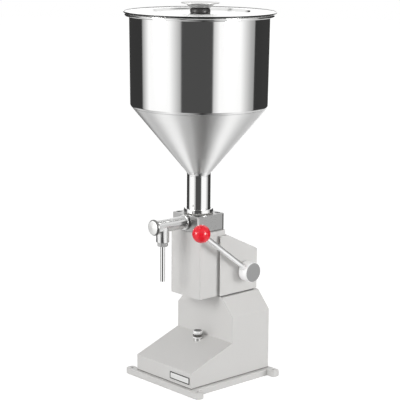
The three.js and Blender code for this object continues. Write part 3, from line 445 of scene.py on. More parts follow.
TURNED = Lines((4.0, 4.0, 900.0), 0.08, 2e-6)
GROUND = Lines((60.0, 60.0, 1100.0), 0.14, 4e-6)
CHAMFERED = Lines((900.0, 900.0, 6.0), 0.10, 3e-6)
MACHINED = Lines((40.0, 40.0, 1500.0), 0.12, 3e-6)

PAINT = Finish("light_grey_paint", (0.645, 0.638, 0.625), 0.36, shade=0.05, skin=1500.0,
               skin_depth=3e-6, marks=0.08, scratches=0.03)
# Painted shade: a dark band along the lower body's foot stands for the contact shadow where it meets the
# base plate.
FOOT_PAINTED_SHADE = Finish("painted_shade_foot_band", (0.20, 0.195, 0.19), 0.50, shade=0.10, marks=0.10, skin=1500.0,
              skin_depth=4e-6)
POLISHED = Finish("mirror_steel", grey(0.78), 0.07, 1.0, Lines((4.0, 4.0, 900.0), 0.03, 1.5e-6),
                  shade=0.02, scratches=0.03)
POLISHED_ALONG = Finish("polished_steel_tube", grey(0.70), 0.19, 1.0,
                        Lines((400.0, 0.5, 400.0), 0.22, 6e-6), shade=0.03, marks=0.06, scratches=0.02)
SPUN = Finish("spun_satin_steel", grey(0.77), 0.36, 1.0, Lines((6.0, 6.0, 1400.0), 0.10, 3e-6),
              shade=0.03, marks=0.06, anisotropy=0.85, turn=0.25)
LID_SATIN = Finish("wiped_lid_steel", grey(0.92), 0.22, 1.0, Lines((4.0, 4.0, 900.0), 0.05, 2e-6),
                   shade=0.03, marks=0.06, scratches=0.03)
# Painted shade: a near-black colour on the lid's rolled edge stands for the shadow gap under the roll.
LID_EDGE_PAINTED_SHADE = Finish("painted_shade_rolled_edge", grey(0.04, 0.0), 0.22, 1.0,
                    Lines((4.0, 4.0, 900.0), 0.04, 2e-6), shade=0.03, marks=0.06)
SATIN = Finish("ground_steel", grey(0.70, 0.01), 0.26, 1.0, GROUND, shade=0.05, marks=0.10,
               scratches=0.05)
BLOCK = Finish("ground_block_steel", grey(0.45), 0.30, 1.0, GROUND, shade=0.05, marks=0.10,
               scratches=0.05)
# Painted highlight: the front chamfers get a pale colour that stands for a highlight on the block's edge.
BLOCK_PAINTED_HIGHLIGHT = Finish("painted_highlight_block_chamfer", grey(0.92), 0.50, 0.8, CHAMFERED, marks=0.08)
# Painted reflection: the rear chamfers get a near-black colour that stands for the dark room reflected in
# them.
BLOCK_PAINTED_DARK_REFLECTION = Finish("painted_dark_reflection_chamfer", grey(0.09, 0.0), 0.35, 1.0, CHAMFERED, shade=0.05, marks=0.10)
NUT_STEEL = Finish("machined_nut_steel", grey(0.50), 0.34, 1.0, MACHINED, shade=0.05, marks=0.10)
# Painted reflection: a nearly white, mostly non-metallic colour stands for turned steel reflecting the
# white surround.
PAINTED_REFLECTION_RIM = Finish("painted_reflection_turned_rim", grey(0.95), 0.30, 0.2, Lines((4.0, 4.0, 1400.0), 0.10, 3e-6),
                 shade=0.03)
# Painted shade: the pad's top is coloured dark grey beside its bright rim, with real wear marks on top.
PAD_TOP = Finish("worn_pad_top_painted_shade", grey(0.15, 0.0), 0.40, 0.8, shade=0.10, marks=0.12, skin=2200.0,
                 skin_depth=6e-6, scratches=0.10)
# Painted shade: the knurled band is coloured near-black, standing for the shade in its unmodelled
# grooves.
KNURL = Finish("painted_shade_knurled_steel", (0.16, 0.155, 0.15), 0.26, 1.0, MACHINED, shade=0.08, marks=0.12)
GASKET = Finish("pale_silicone", (0.62, 0.61, 0.58), 0.50, shade=0.08, marks=0.10, skin=1600.0,
                skin_depth=4e-6)
SOLE = Finish("grey_sole_rubber", grey(0.17, 0.0), 0.60, shade=0.15, marks=0.12, skin=1600.0,
              skin_depth=1.2e-5)
CAP_STEEL = Finish("brushed_cap_steel", grey(0.70, 0.01), 0.42, 1.0, TURNED, marks=0.08)
# Painted shade: a dark ring on the end cap's rim stands for the dark line round the cap.
CAP_RIM = Finish("painted_shade_cap_rim", grey(0.24), 0.30, 1.0, Lines((4.0, 900.0, 4.0), 0.08, 2e-6),
                 marks=0.08)
# Painted shade: a darker grey on the cap's neck stands for the shade under the knob's cap.
CAP_NECK_PAINTED_SHADE = Finish("painted_shade_cap_neck", grey(0.52), 0.50, 0.8, TURNED, shade=0.05, marks=0.10)
CHROME = Finish("bright_chrome", (0.83, 0.84, 0.85), 0.06, 1.0, shade=0.01, marks=0.04, scratches=0.03)
ROD_CHROME = Finish("satin_chrome_rod", grey(0.98, 0.0), 0.14, 0.72, shade=0.02, scratches=0.03)
# Painted reflection: the hub's side is plain non-metallic white, standing for chrome that reflects the
# white surround.
HUB_PAINTED_REFLECTION = Finish("painted_reflection_turned_side", grey(1.0, 0.0), 0.30,
                  lines=Lines((1400.0, 4.0, 4.0), 0.10, 3e-6), shade=0.03)
HUB_FACE = Finish("machined_face", grey(0.42, 0.0), 0.36, 1.0, shade=0.10, marks=0.12, skin=2200.0,
                  skin_depth=6e-6, scratches=0.06)
DARK = Finish("blackened_steel", (0.10, 0.10, 0.105), 0.42, 0.9, shade=0.15, marks=0.15, skin=1800.0,
              skin_depth=8e-6, scratches=0.10)
BRONZE = Finish("bearing_bronze", (0.45, 0.30, 0.12), 0.34, 1.0, Lines((900.0, 6.0, 6.0), 0.10, 3e-6),
                shade=0.10, marks=0.10)
RUBBER = Finish("black_rubber", (0.020, 0.020, 0.021), 0.62, shade=0.20, marks=0.15, skin=1600.0,
                skin_depth=1.2e-5)
BLACK = Finish("glossy_black_plastic", (0.040, 0.038, 0.037), 0.36, shade=0.10, marks=0.06,
               scratches=0.03)
ENAMEL = Finish("black_enamel_plate", (0.022, 0.022, 0.023), 0.30, shade=0.15, marks=0.10,
                skin=2200.0, skin_depth=3e-6, scratches=0.08)
BARE_PLATE = Finish("bare_plate_face", grey(0.80, 0.01), 0.34, 0.6, MACHINED, shade=0.06, marks=0.10)
RED = Finish("glossy_red_plastic", (0.82, 0.008, 0.024), 0.20, marks=0.03, scratches=0.02,
             specular=0.15, coat=0.6, coat_roughness=0.14)


# Sections of turned pieces


def slice_form(form: Form, point: Point, normal: Point, reach: float) -> list:
    """Cuts every face that a plane crosses.

    Args:
        form: The form.
        point: A place on the plane.
        normal: The plane's normal.
        reach: How near a corner counts as on the plane.

    Returns:
        The corners and edges on the cut.
    """
    return bmesh.ops.bisect_plane(form, geom=[*form.verts, *form.edges, *form.faces], dist=reach,
                                  plane_co=point, plane_no=normal)["geom_cut"]


@dataclass
class Section:
    """Half of a turned solid's cross-section, read from its mesh beside its axis."""

    axis: Axis
    centre: Point

    def frame(self) -> Matrix:
        """Returns the matrix that takes the row frame to the piece's own axis along Z."""
        turn = Vector(self.axis.value).rotation_difference(Vector((0.0, 0.0, 1.0))).to_matrix().to_4x4()
        return turn @ Matrix.Translation(-Vector(self.centre))

    def read(self, source: bpy.types.Mesh) -> list[Profile]:
        """Cuts the mesh beside its axis.

        Args:
            source: The solid's mesh.

        Returns:
            The outlines of the cut.
        """
        form = bmesh.new()
        form.from_mesh(source)
        form.transform(self.frame())
        bmesh.ops.remove_doubles(form, verts=form.verts, dist=WELD)
        facets, phase = self.facets(form)
        middle = phase + math.pi / facets
        out = Vector((math.cos(middle), math.sin(middle), 0.0))
        across = Vector((-out.y, out.x, 0.0))
        cut = slice_form(form, (0.0, 0.0, 0.0), across, SECTION_REACH)
        grow = 1.0 / math.cos(math.pi / facets)
        pairs = []
        for edge in (item for item in cut if isinstance(item, bmesh.types.BMEdge)):
            ends = [(vert.co.dot(out) * grow, vert.co.z) for vert in edge.verts]
            pairs.extend(self.outer_part(*ends))
        form.free()
        return chain(pairs)

    @staticmethod
    def facets(form: Form) -> tuple[int, float]:
        """Counts the facets round the widest part.

        Args:
            form: The solid, with its axis along Z.

        Returns:
            The number of facets and the angle of one corner.
        """
        widest = max(vert.co.xy.length for vert in form.verts)
        angles = sorted(math.atan2(vert.co.y, vert.co.x) for vert in form.verts
                        if vert.co.xy.length > widest - RIM_DEPTH)
        kept = [angles[0]]
        for angle in angles[1:]:
            if angle - kept[-1] > LEAST_TURN:
                kept.append(angle)
        if kept[0] + 2 * math.pi - kept[-1] < LEAST_TURN:
            kept.pop()
        return len(kept), kept[0]

    @staticmethod
    def outer_part(first: Pair, second: Pair) -> list[tuple[Pair, Pair]]:
        """Keeps what lies on the near side of the axis of one stretch of the outline.

        Args:
            first: Radius and height of one end.
            second: Radius and height of the other end.

        Returns:
            The stretch, or no stretch.
        """
        if first[0] < WELD and second[0] < WELD:
            return []
        if min(first[0], second[0]) < 0.0:
            inner, outer = sorted((first, second))
            share = -inner[0] / (outer[0] - inner[0])
            inner = (0.0, inner[1] + share * (outer[1] - inner[1]))
            return [(inner, outer)]
        return [(first, second)]


def chain(pairs: list[tuple[Pair, Pair]]) -> list[Profile]:
    """Joins loose stretches into outlines.

    Args:
        pairs: The two ends of each stretch.

    Returns:
        One list of points for each outline. A closed one ends where it starts.
    """

    def key(point: Pair) -> tuple[int, int]:
        """Returns the cell of a fine grid that the point is in."""
        return round(point[0] / CELL), round(point[1] / CELL)

    near: dict[tuple[int, int], list[int]] = {}
    spot: dict[tuple[int, int], Pair] = {}
    for number, ends in enumerate(pairs):
        for end in ends:
            spot.setdefault(key(end), end)
            near.setdefault(key(end), []).append(number)
    unused = set(range(len(pairs)))
    starts = [place for place, users in near.items() if len(users) == 1]
    loops = []
    while unused:
        start = next((place for place in starts if any(n in unused for n in near[place])), None)
        if start is None:
            start = key(pairs[min(unused)][0])
        walk = [start]
        while True:
            following = next((n for n in near[walk[-1]] if n in unused), None)
            if following is None:
                break
            unused.discard(following)
            ends = [key(end) for end in pairs[following]]
            walk.append(ends[1] if ends[0] == walk[-1] else ends[0])
        if len(walk) > 2:
            loops.append(straighten([spot[place] for place in walk]))
    return loops


def straighten(points: Profile) -> Profile:
    """Drops points that lie on a straight stretch between their neighbours.

    Args:
        points: The outline.

    Returns:
        The outline without them.
    """
    kept = [points[0]]
    for here, after in zip(points[1:], points[2:]):
        first = Vector(here) - Vector(kept[-1])
        second = Vector(after) - Vector(here)
        if first.length < WELD:
            continue
        if second.length < WELD or abs(first.normalized().cross(second.normalized())) > LEAST_TURN:
            kept.append(here)
    kept.append(points[-1])
    return kept


def hold_edges(points: Profile, reach: float) -> Profile:
    """Adds points near the ends of long straight stretches, so that soft shading stays near the corners.

    Args:
        points: The outline.
        reach: How far from each corner the added points are.

    Returns:
        The outline with its added points.
    """
    long_share = 6
    held = [points[0]]
    for first, second in zip(points, points[1:]):
        line = Vector(second) - Vector(first)
        if line.length > long_share * reach:
            for share in (reach / line.length, 1 - reach / line.length):
                spot = Vector(first) + share * line
                held.append((spot.x, spot.y))
        held.append(second)
    return held


def spin(loops: Iterable[Profile], steps: int) -> Form:
    """Turns outlines about the Z axis.

    Args:
        loops: Outlines of radius and height.
        steps: Steps of a full turn.

    Returns:
        The turned form.
    """
    form = bmesh.new()
    for loop in loops:
        closed = (Vector(loop[0]) - Vector(loop[-1])).length < CLOSED_GAP
        points = loop[:-1] if closed else loop
        rings = []
        for radius, height in points:
            if radius < WELD:
                rings.append([form.verts.new((0.0, 0.0, height))])
            else:
                rings.append([form.verts.new((radius * math.cos(a), radius * math.sin(a), height))
                              for a in (2 * math.pi * k / steps for k in range(steps))])
        following = rings[1:] + rings[:1] if closed else rings[1:]
        for lower, upper in zip(rings, following):
            for k in range(steps):
                corners = [lower[k % len(lower)], lower[(k + 1) % len(lower)],
                           upper[(k + 1) % len(upper)], upper[k % len(upper)]]
                distinct = list(dict.fromkeys(corners))
                if len(distinct) > 2:
                    form.faces.new(distinct)
    bmesh.ops.recalc_face_normals(form, faces=form.faces)
    return form


# The workshop


@dataclass
class Workshop:
    """Makes shown pieces out of the frame's solids and puts each on its body."""

    frame: dict

    def mesh_of(self, node: str) -> bpy.types.Mesh:
        """Returns the solid's mesh."""
        return self.frame["nodes"][node].data

    def body_of(self, node: str) -> str:
        """Returns the name of the body that the node belongs to."""
        return self.frame["nodes"][node]["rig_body"]

    def copy_form(self, node: str) -> Form:
        """Copies a solid with its triangles joined into flat faces.

        Args:
            node: The node to copy.

        Returns:
            The copy.
        """
        form = bmesh.new()
        form.from_mesh(self.mesh_of(node))
        bmesh.ops.remove_doubles(form, verts=form.verts, dist=WELD)
        bmesh.ops.dissolve_limit(form, angle_limit=FLAT_ANGLE, verts=form.verts, edges=form.edges)
        return form

    def settle(self, form: Form, node: str, finishes: Sequence[Finish],
               soft_angle: float) -> Object:
        """Turns a form into a piece that stands for a node.

        Args:
            form: The form, in the row frame.
            node: The node that it stands for.
            finishes: The finishes, in the order of the form's material numbers.
            soft_angle: Degrees between two faces up to which they shade as one surface.

        Returns:
            The new object.
        """
        for face in form.faces:
            face.smooth = True
        for edge in form.edges:
            soft = edge.calc_face_angle(0.0) < math.radians(soft_angle)
            edge.smooth = soft and len(edge.link_faces) == 2
        piece = add_mesh(form, f"{node}_shown", [finish.material() for finish in finishes])
        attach(piece, self.body_of(node))
        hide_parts(node)
        LOG.info("%s: %d faces", piece.name, len(piece.data.polygons))
        return piece

    def respin(self, node: str, finishes: Sequence[Finish], axis: Axis = Axis.UP,
               centre: Point = (0.0, 0.0, 0.0), steps: int = 96, soft_angle: float = 50.0,
               hold: float = 0.4 * MM,
               pick: Callable[[Vector], int] | None = None) -> Object:
        """Spins a turned solid's own section again with many more steps.

        Args:
            node: The turned node.
            finishes: Its finishes.
            axis: Direction of its axis.
            centre: A point on its axis.
            steps: Steps of a full turn.
            soft_angle: Degrees up to which neighbouring faces shade as one.
            hold: How near the corners the shading is held.
            pick: Chooses a finish's number from a face's middle.

        Returns:
            The new object.
        """
        section = Section(axis, centre)
        form = spin([hold_edges(loop, hold) for loop in section.read(self.mesh_of(node))], steps)
        form.transform(section.frame().inverted())
        if pick:
            for face in form.faces:
                face.material_index = pick(face.calc_center_median())
        return self.settle(form, node, finishes, soft_angle)

    def round_edges(self, node: str, finishes: Sequence[Finish], width: float, segments: int = 3,
                    edge_angle: float = 28.0, soft_angle: float = 40.0,
                    pick: Callable[[Vector, Vector], int] | None = None,
                    split: tuple[Point, Point] | None = None) -> Object:
        """Copies a solid and rounds its edges.

        Args:
            node: The node to copy.
            finishes: Its finishes.
            width: Width of the rounding.
            segments: Steps across the rounding.
            edge_angle: Degrees between two faces from which their edge is rounded.
            soft_angle: Degrees up to which neighbouring faces shade as one.
            pick: Chooses a finish's number from a face's middle and normal.
            split: A point and the normal of a plane that parts two finishes.

        Returns:
            The new object.
        """
        form = self.copy_form(node)
        if split:
            slice_form(form, *split, SPLIT_REACH)
        if pick:
            for face in form.faces:
                face.material_index = pick(face.calc_center_median(), face.normal)
        piece = self.settle(form, node, finishes, soft_angle)
        bevel = piece.modifiers.new("rounded_edges", "BEVEL")
        bevel.width = width
        bevel.segments = segments
        bevel.limit_method = "ANGLE"
        bevel.angle_limit = math.radians(edge_angle)
        bevel.miter_outer = "MITER_ARC"
        even = piece.modifiers.new("even_shading", "WEIGHTED_NORMAL")
        even.keep_sharp = False
        even.weight = SHADING_WEIGHT
        self.apply(piece)
        return piece

    @staticmethod
    def apply(piece: Object) -> None:
        """Makes the piece's modifiers part of its mesh.

        Args:
            piece: The object.
        """
        bpy.context.view_layer.update()
        shown = piece.evaluated_get(bpy.context.evaluated_depsgraph_get())
        mesh = bpy.data.meshes.new_from_object(shown)
        piece.modifiers.clear()
        piece.data = mesh

    def carry(self, finish: Finish, *nodes: str) -> None:
        """Gives solids that show as they are a finish.

        Args:
            finish: The finish.
            nodes: The nodes that get it.
        """
        for node in nodes:
            solid = self.frame["nodes"][node]
            solid.data.materials.clear()
            solid.data.materials.append(finish.material())
            LOG.info("%s: carried as %s", node, finish.name)


# Sub-assemblies


UPWARD: Point = (0.0, 0.0, 1.0)
BACKWARD: Point = (0.0, 1.0, 0.0)


def numbered(name: str, count: int) -> list[str]:
    """Returns the names of pieces that differ only in their number, from 1 on."""
    return [f"{name}_{number}" for number in range(1, count + 1)]


@dataclass
class SubAssembly:
    """Pieces that are made together in one workshop."""

    shop: Workshop

    def build(self) -> None:
        """Makes the pieces."""
        raise NotImplementedError


@dataclass
class Stand(SubAssembly):
    """Base plate, folded lower body, name plate and the screws that join them."""

    plate_rounding: float = 0.6 * MM
    body_rounding: float = 1.3 * MM
    frame_width: float = 1.6 * MM
    field_slope: float = 0.15 * MM
    field_depth: float = 0.12 * MM
    foot_shade_top: float = 13.7 * MM

    def zone(self, spot: Vector, normal: Vector) -> int:
        """Tells the painted shade at the body's foot, a dark band for the shadow where it meets the
        plate, from its paint.
        """
        return int(spot.z < self.foot_shade_top)

    def build(self) -> None:
        """Makes the stand's pieces."""
        self.shop.round_edges("base_plate", [PAINT], self.plate_rounding, segments=2)
        self.shop.round_edges("lower_body", [PAINT, FOOT_PAINTED_SHADE], self.body_rounding, segments=4, pick=self.zone,
                              split=((0.0, 0.0, self.foot_shade_top), UPWARD))
        self.name_plate()
        self.shop.carry(DARK, *numbered("base_screw", 4))
        self.shop.carry(SOLE, "sole_plate")

    def name_plate(self) -> None:
        """Makes the bare plate: a dark enamelled frame round a blank metal field."""
        low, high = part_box("name_plate")
        LOG.info("name plate %.0f mm wide", (high.x - low.x) / MM)
        form = self.shop.copy_form("name_plate")
        front = [face for face in form.faces if face.normal.y < -FACING]
        made = bmesh.ops.inset_region(form, faces=front, thickness=self.frame_width, depth=0.0)
        inner = [face for face in form.faces if face.normal.y < -FACING and face not in made["faces"]]
        bmesh.ops.inset_region(form, faces=inner, thickness=self.field_slope, depth=-self.field_depth)
        for face in (face for face in inner if face.is_valid):
            face.material_index = 1
        self.shop.settle(form, "name_plate", [ENAMEL, BARE_PLATE], soft_angle=30.0)


@dataclass
class StopScrew(SubAssembly):
    """Stroke stop: a padded stud, its knurled nut and its bush in the deck."""

    steps: int = 64
    pad_top: float = 87.6 * MM
    pad_face: float = 7.5 * MM
    knurl_foot: float = 76.9 * MM
    nut_rounding: float = 0.25 * MM
    upward_share: float = 0.3

    def pad_zone(self, spot: Vector) -> int:
        """Tells the pad's worn top, darkened with painted shade, from its rim, painted bright as a
        reflection.
        """
        return int(spot.z > self.pad_top and spot.xy.length < self.pad_face)

    def nut_zone(self, spot: Vector, normal: Vector) -> int:
        """Tells the nut's end faces and foot, painted bright as a reflection, from its knurled band in
        painted shade.
        """
        return int(normal.z > self.upward_share or spot.z < self.knurl_foot)

    def build(self) -> None:
        """Makes the stop screw's pieces."""
        self.shop.respin("stop_bush", [SATIN], steps=self.steps)
        self.shop.round_edges("stop_nut", [KNURL, PAINTED_REFLECTION_RIM], self.nut_rounding, segments=2,
                              edge_angle=60.0, soft_angle=20.0, pick=self.nut_zone,
                              split=((0.0, 0.0, self.knurl_foot), UPWARD))
        self.shop.respin("stroke_stop", [PAINTED_REFLECTION_RIM, PAD_TOP], steps=self.steps, soft_angle=40.0,
                         pick=self.pad_zone)


@dataclass
class Column(SubAssembly):
    """Cast column with the pump's liner, piston and rod inside."""

    rounding: float = 1.0 * MM

    def build(self) -> None:
        """Makes the column's pieces."""
        self.shop.round_edges("column", [PAINT], self.rounding)
        self.shop.carry(SATIN, "piston", "piston_rod", "cylinder_liner")
        self.shop.carry(RUBBER, "piston_seal_upper", "piston_seal_lower")


@dataclass
class PumpHead(SubAssembly):
    """Valve block with its four sunk screws and the inlet valve."""

    rounding: float = 0.35 * MM
    screw_rounding: float = 0.2 * MM
    rear_edge: float = 26.4 * MM
    slant_share: float = 0.6

    def zone(self, spot: Vector, normal: Vector) -> int:
        """Tells the block's edges, with a painted highlight at the front and a painted dark reflection
        behind, from its ground faces.

        Args:
            spot: The middle of a face.
            normal: The face's normal.

        Returns:
            The number of the finish.
        """
        if min(abs(normal.x), abs(normal.y)) < self.slant_share:
            return 2 if abs(normal.x) > FACING and spot.y > self.rear_edge else 0
        return 1 if normal.y < 0.0 else 2

    def build(self) -> None:
        """Makes the head's pieces."""
        self.shop.round_edges("valve_block", [BLOCK, BLOCK_PAINTED_HIGHLIGHT, BLOCK_PAINTED_DARK_REFLECTION], self.rounding, segments=2,
                              pick=self.zone, split=((0.0, self.rear_edge, 0.0), BACKWARD))
        for screw in numbered("block_screw", 4):
            self.shop.round_edges(screw, [DARK], self.screw_rounding, segments=2, soft_angle=45.0)
        self.shop.carry(SATIN, "inlet_valve_body", "inlet_spring")
        self.shop.carry(CHROME, "inlet_ball")


@dataclass
class Outlet(SubAssembly):
    """Outlet tube with its flange, branch, end cap, nut and nozzle."""

    axis_height: float = 297.6 * MM
    branch_front: float = -85.8 * MM
    cap_face: float = 12.6 * MM
    tube_rounding: float = 0.3 * MM
    nut_rounding: float = 0.25 * MM
    steps: int = 72

    def cap_zone(self, spot: Vector) -> int:
        """Returns 1 on the end cap's rim, which gets painted shade, and 0 on its domed face."""
        return int(math.hypot(spot.x, spot.z - self.axis_height) > self.cap_face)

    def build(self) -> None:
        """Makes the outlet's pieces."""
        self.shop.round_edges("outlet_tube", [POLISHED_ALONG], self.tube_rounding, segments=2,
                              edge_angle=50.0)
        along = (0.0, 0.0, self.axis_height)
        down = (0.0, self.branch_front, 0.0)
        self.shop.respin("outlet_cap", [CAP_STEEL, CAP_RIM], Axis.FRONT, along, self.steps,
                         soft_angle=40.0, pick=self.cap_zone)
        self.shop.round_edges("nozzle_nut", [NUT_STEEL], self.nut_rounding, segments=2)
        self.shop.respin("nozzle", [POLISHED], Axis.UP, down, steps=48)
        self.shop.carry(GASKET, "outlet_gasket")
        self.shop.carry(CHROME, "outlet_ball")
        self.shop.carry(SATIN, "outlet_spring")


@dataclass
class Hopper(SubAssembly):
    """Hopper with a mirror-polished bowl and neck and a satin cone, on its collar and gasket."""

    seam_height: float = 506.2 * MM
    cone_foot: float = 387.0 * MM
    steps: int = 192
    hold: float = 0.8 * MM
    sheets: tuple[str, ...] = ("hopper_neck_tube", "hopper_cone_sheet", "hopper_bowl_sheet")

    def zone(self, spot: Vector) -> int:
        """Tells the satin cone from the mirror-polished bowl and neck."""
        return int(self.cone_foot < spot.z < self.seam_height)

    def build(self) -> None:
        """Makes the hopper's pieces."""
        for node in self.sheets:
            self.shop.respin(node, [POLISHED, SPUN], steps=self.steps, soft_angle=60.0, hold=self.hold,
                             pick=self.zone)
        self.shop.respin("hopper_collar", [POLISHED], soft_angle=30.0)
        self.shop.respin("collar_gasket", [GASKET], soft_angle=30.0)


class LidZone(Enum):
    """Parts of the lid that are finished differently, the rolled edge with painted shade."""

    SATIN = 0
    EDGE = 1
    STEP = 2


@dataclass
class Lid(SubAssembly):
    """Loose lid with its two-piece knob."""

    steps: int = 192
    hold: float = 0.3 * MM
    roll_centre: Pair = (134.1 * MM, 671.6 * MM)
    bright_arc: Pair = (50.0, 80.0)
    roll_thick: float = 2.8 * MM
    panel_radius: float = 86.9 * MM
    step_radius: float = 90.4 * MM
    cap_neck_top: float = 684.6 * MM

    def cap_zone(self, spot: Vector) -> int:
        """Tells the neck of the knob's cap, coloured in painted shade, from its flare."""
        return int(spot.z < self.cap_neck_top)

    def zone(self, spot: Vector) -> int:
        """Tells how a place on the lid is finished, with painted shade on most of its rolled edge.

        Args:
            spot: The middle of a face.

        Returns:
            The number of the finish.
        """
        out = spot.xy.length
        # The rolled edge gets painted shade everywhere except on its upper bright arc.
        if out > self.roll_centre[0] - self.roll_thick / 2:
            turn = math.degrees(math.atan2(spot.z - self.roll_centre[1], out - self.roll_centre[0]))
            lit = self.bright_arc[0] < turn < self.bright_arc[1]
            return (LidZone.SATIN if lit else LidZone.EDGE).value
        return (LidZone.STEP if self.panel_radius < out < self.step_radius else LidZone.SATIN).value

    def build(self) -> None:
        """Makes the lid's pieces."""
        self.shop.respin("lid", [LID_SATIN, LID_EDGE_PAINTED_SHADE, POLISHED], steps=self.steps, soft_angle=60.0,
                         hold=self.hold, pick=self.zone)
        self.shop.respin("lid_knob_foot", [BLACK], soft_angle=60.0, hold=self.hold)
        self.shop.respin("lid_knob_cap", [CAP_STEEL, CAP_NECK_PAINTED_SHADE], soft_angle=60.0, hold=self.hold,
                         pick=self.cap_zone)
        self.shop.carry(DARK, "lid_screw")


@dataclass
class Housing(SubAssembly):
    """Folded cover behind the column, with the mechanism's frame, bushes and screws in it."""

    rounding: float = 0.9 * MM

    def build(self) -> None:
        """Makes the housing's pieces."""
        self.shop.round_edges("housing", [PAINT], self.rounding)
        self.shop.carry(DARK, "mechanism_frame", *numbered("frame_screw", 2))
        self.shop.carry(BRONZE, "shaft_bush_right", "shaft_bush_left")
        self.shop.carry(RUBBER, "dust_washer")


@dataclass
class LeverGear(SubAssembly):
    """Lever with its hub, rod and ball, and what its shaft carries inside."""

    pivot: Point = (0.0, 74.5 * MM, 199.0 * MM)
    face_plane: float = 67.5 * MM
    ball_radius: float = 16.4 * MM
    ball_reach: float = 149.1 * MM
    ball_side: float = 57.45 * MM
    lever_angle: float = math.radians(36.4)
    ball_steps: tuple[int, int] = (64, 40)
    hub_rounding: float = 0.35 * MM
    rod_rounding: float = 0.2 * MM
    flat_share: float = 0.99

    def ball_centre(self) -> Vector:
        """Returns the middle of the ball."""
        forward = Vector((0.0, -math.cos(self.lever_angle), math.sin(self.lever_angle)))
        return Vector(self.pivot) + Vector((self.ball_side, 0.0, 0.0)) + self.ball_reach * forward

    def zone(self, spot: Vector, normal: Vector) -> int:
        """Tells the hub's flat face from its side, which is painted white as a reflection."""
        return int(spot.x > self.face_plane and normal.x > self.flat_share)

    def ball(self) -> None:
        """Makes the ball as a smooth sphere."""
        round_steps, height_steps = self.ball_steps
        turns = [math.pi * step / height_steps for step in range(height_steps + 1)]
        arc = [(self.ball_radius * math.sin(turn), self.ball_radius * math.cos(turn)) for turn in turns]
        form = spin([arc], round_steps)
        form.transform(Matrix.Translation(self.ball_centre()))
        self.shop.settle(form, "lever_ball", [RED], soft_angle=60.0).visible_glossy = False

    def build(self) -> None:
        """Makes the lever's pieces."""
        self.shop.round_edges("lever_hub", [HUB_PAINTED_REFLECTION, HUB_FACE], self.hub_rounding, edge_angle=35.0,
                              pick=self.zone)
        self.shop.round_edges("lever_rod", [ROD_CHROME], self.rod_rounding, segments=2, edge_angle=35.0)
        self.ball()
        self.shop.carry(DARK, "rocker_arm", "shaft_clip", "hub_set_screw")
        self.shop.carry(SATIN, "lever_shaft", "cross_pin")


# Studio


WHITE: Colour = (1.0, 1.0, 1.0)

# Light that gloss sees all round: degrees from the front towards the lever's side, and the level there
ROOM_LEVELS = (
    (-180, 0.05), (-158, 0.045), (-156.5, 1.25), (-122, 1.25), (-120.5, 0.045), (-60, 0.045),
    (-58.5, 0.42), (-43, 1.25), (-3, 1.25), (16.5, 0.5), (18.5, 0.085), (68, 0.085), (70, 0.75),
    (80, 1.25), (117, 1.25), (128, 0.85), (138, 0.55), (146, 0.42), (147.5, 0.045), (180, 0.05))
# The same below the horizon, where the cone looks, round the middle of its own fan of directions
FAN_LEVELS = (
    (-180, 0.6), (-60, 0.6), (-31, 1.2), (-10, 0.78), (0, 0.58), (13, 0.85), (23, 1.15), (31, 0.66),
    (37, 0.58), (50, 0.03), (57, 0.20), (76, 1.05), (82, 1.15), (90, 0.85), (101, 0.68), (114, 1.0),
    (133, 1.1), (180, 0.6))
# Overhead: the direction's part along X, and the level there
ROOF_LEVELS = (
    (-1.0, 1.05), (-0.64, 1.05), (-0.57, 0.35), (-0.50, 1.05), (0.10, 1.05), (0.19, 0.35),
    (0.31, 0.35), (0.40, 1.05), (1.0, 1.05))


@dataclass(frozen=True)
class Lamp:
    """A soft square lamp. It lights the scene, or only shows as a highlight in gloss."""

    name: str
    place: Point
    aim: Point
    size: float
    power: float
    in_gloss: bool = False

    def hang(self) -> None:
        """Puts the lamp into the scene."""
        data = bpy.data.lights.new(self.name, "AREA")
        data.shape = "SQUARE"
        data.size = self.size
        data.energy = self.power
        lamp = add_object(self.name, data)
        lamp.location = self.place
        lamp.rotation_mode = "QUATERNION"
        lamp.rotation_quaternion = (Vector(self.aim) - Vector(self.place)).to_track_quat("-Z", "Y")
        lamp.visible_glossy = self.in_gloss
        lamp.visible_diffuse = not self.in_gloss


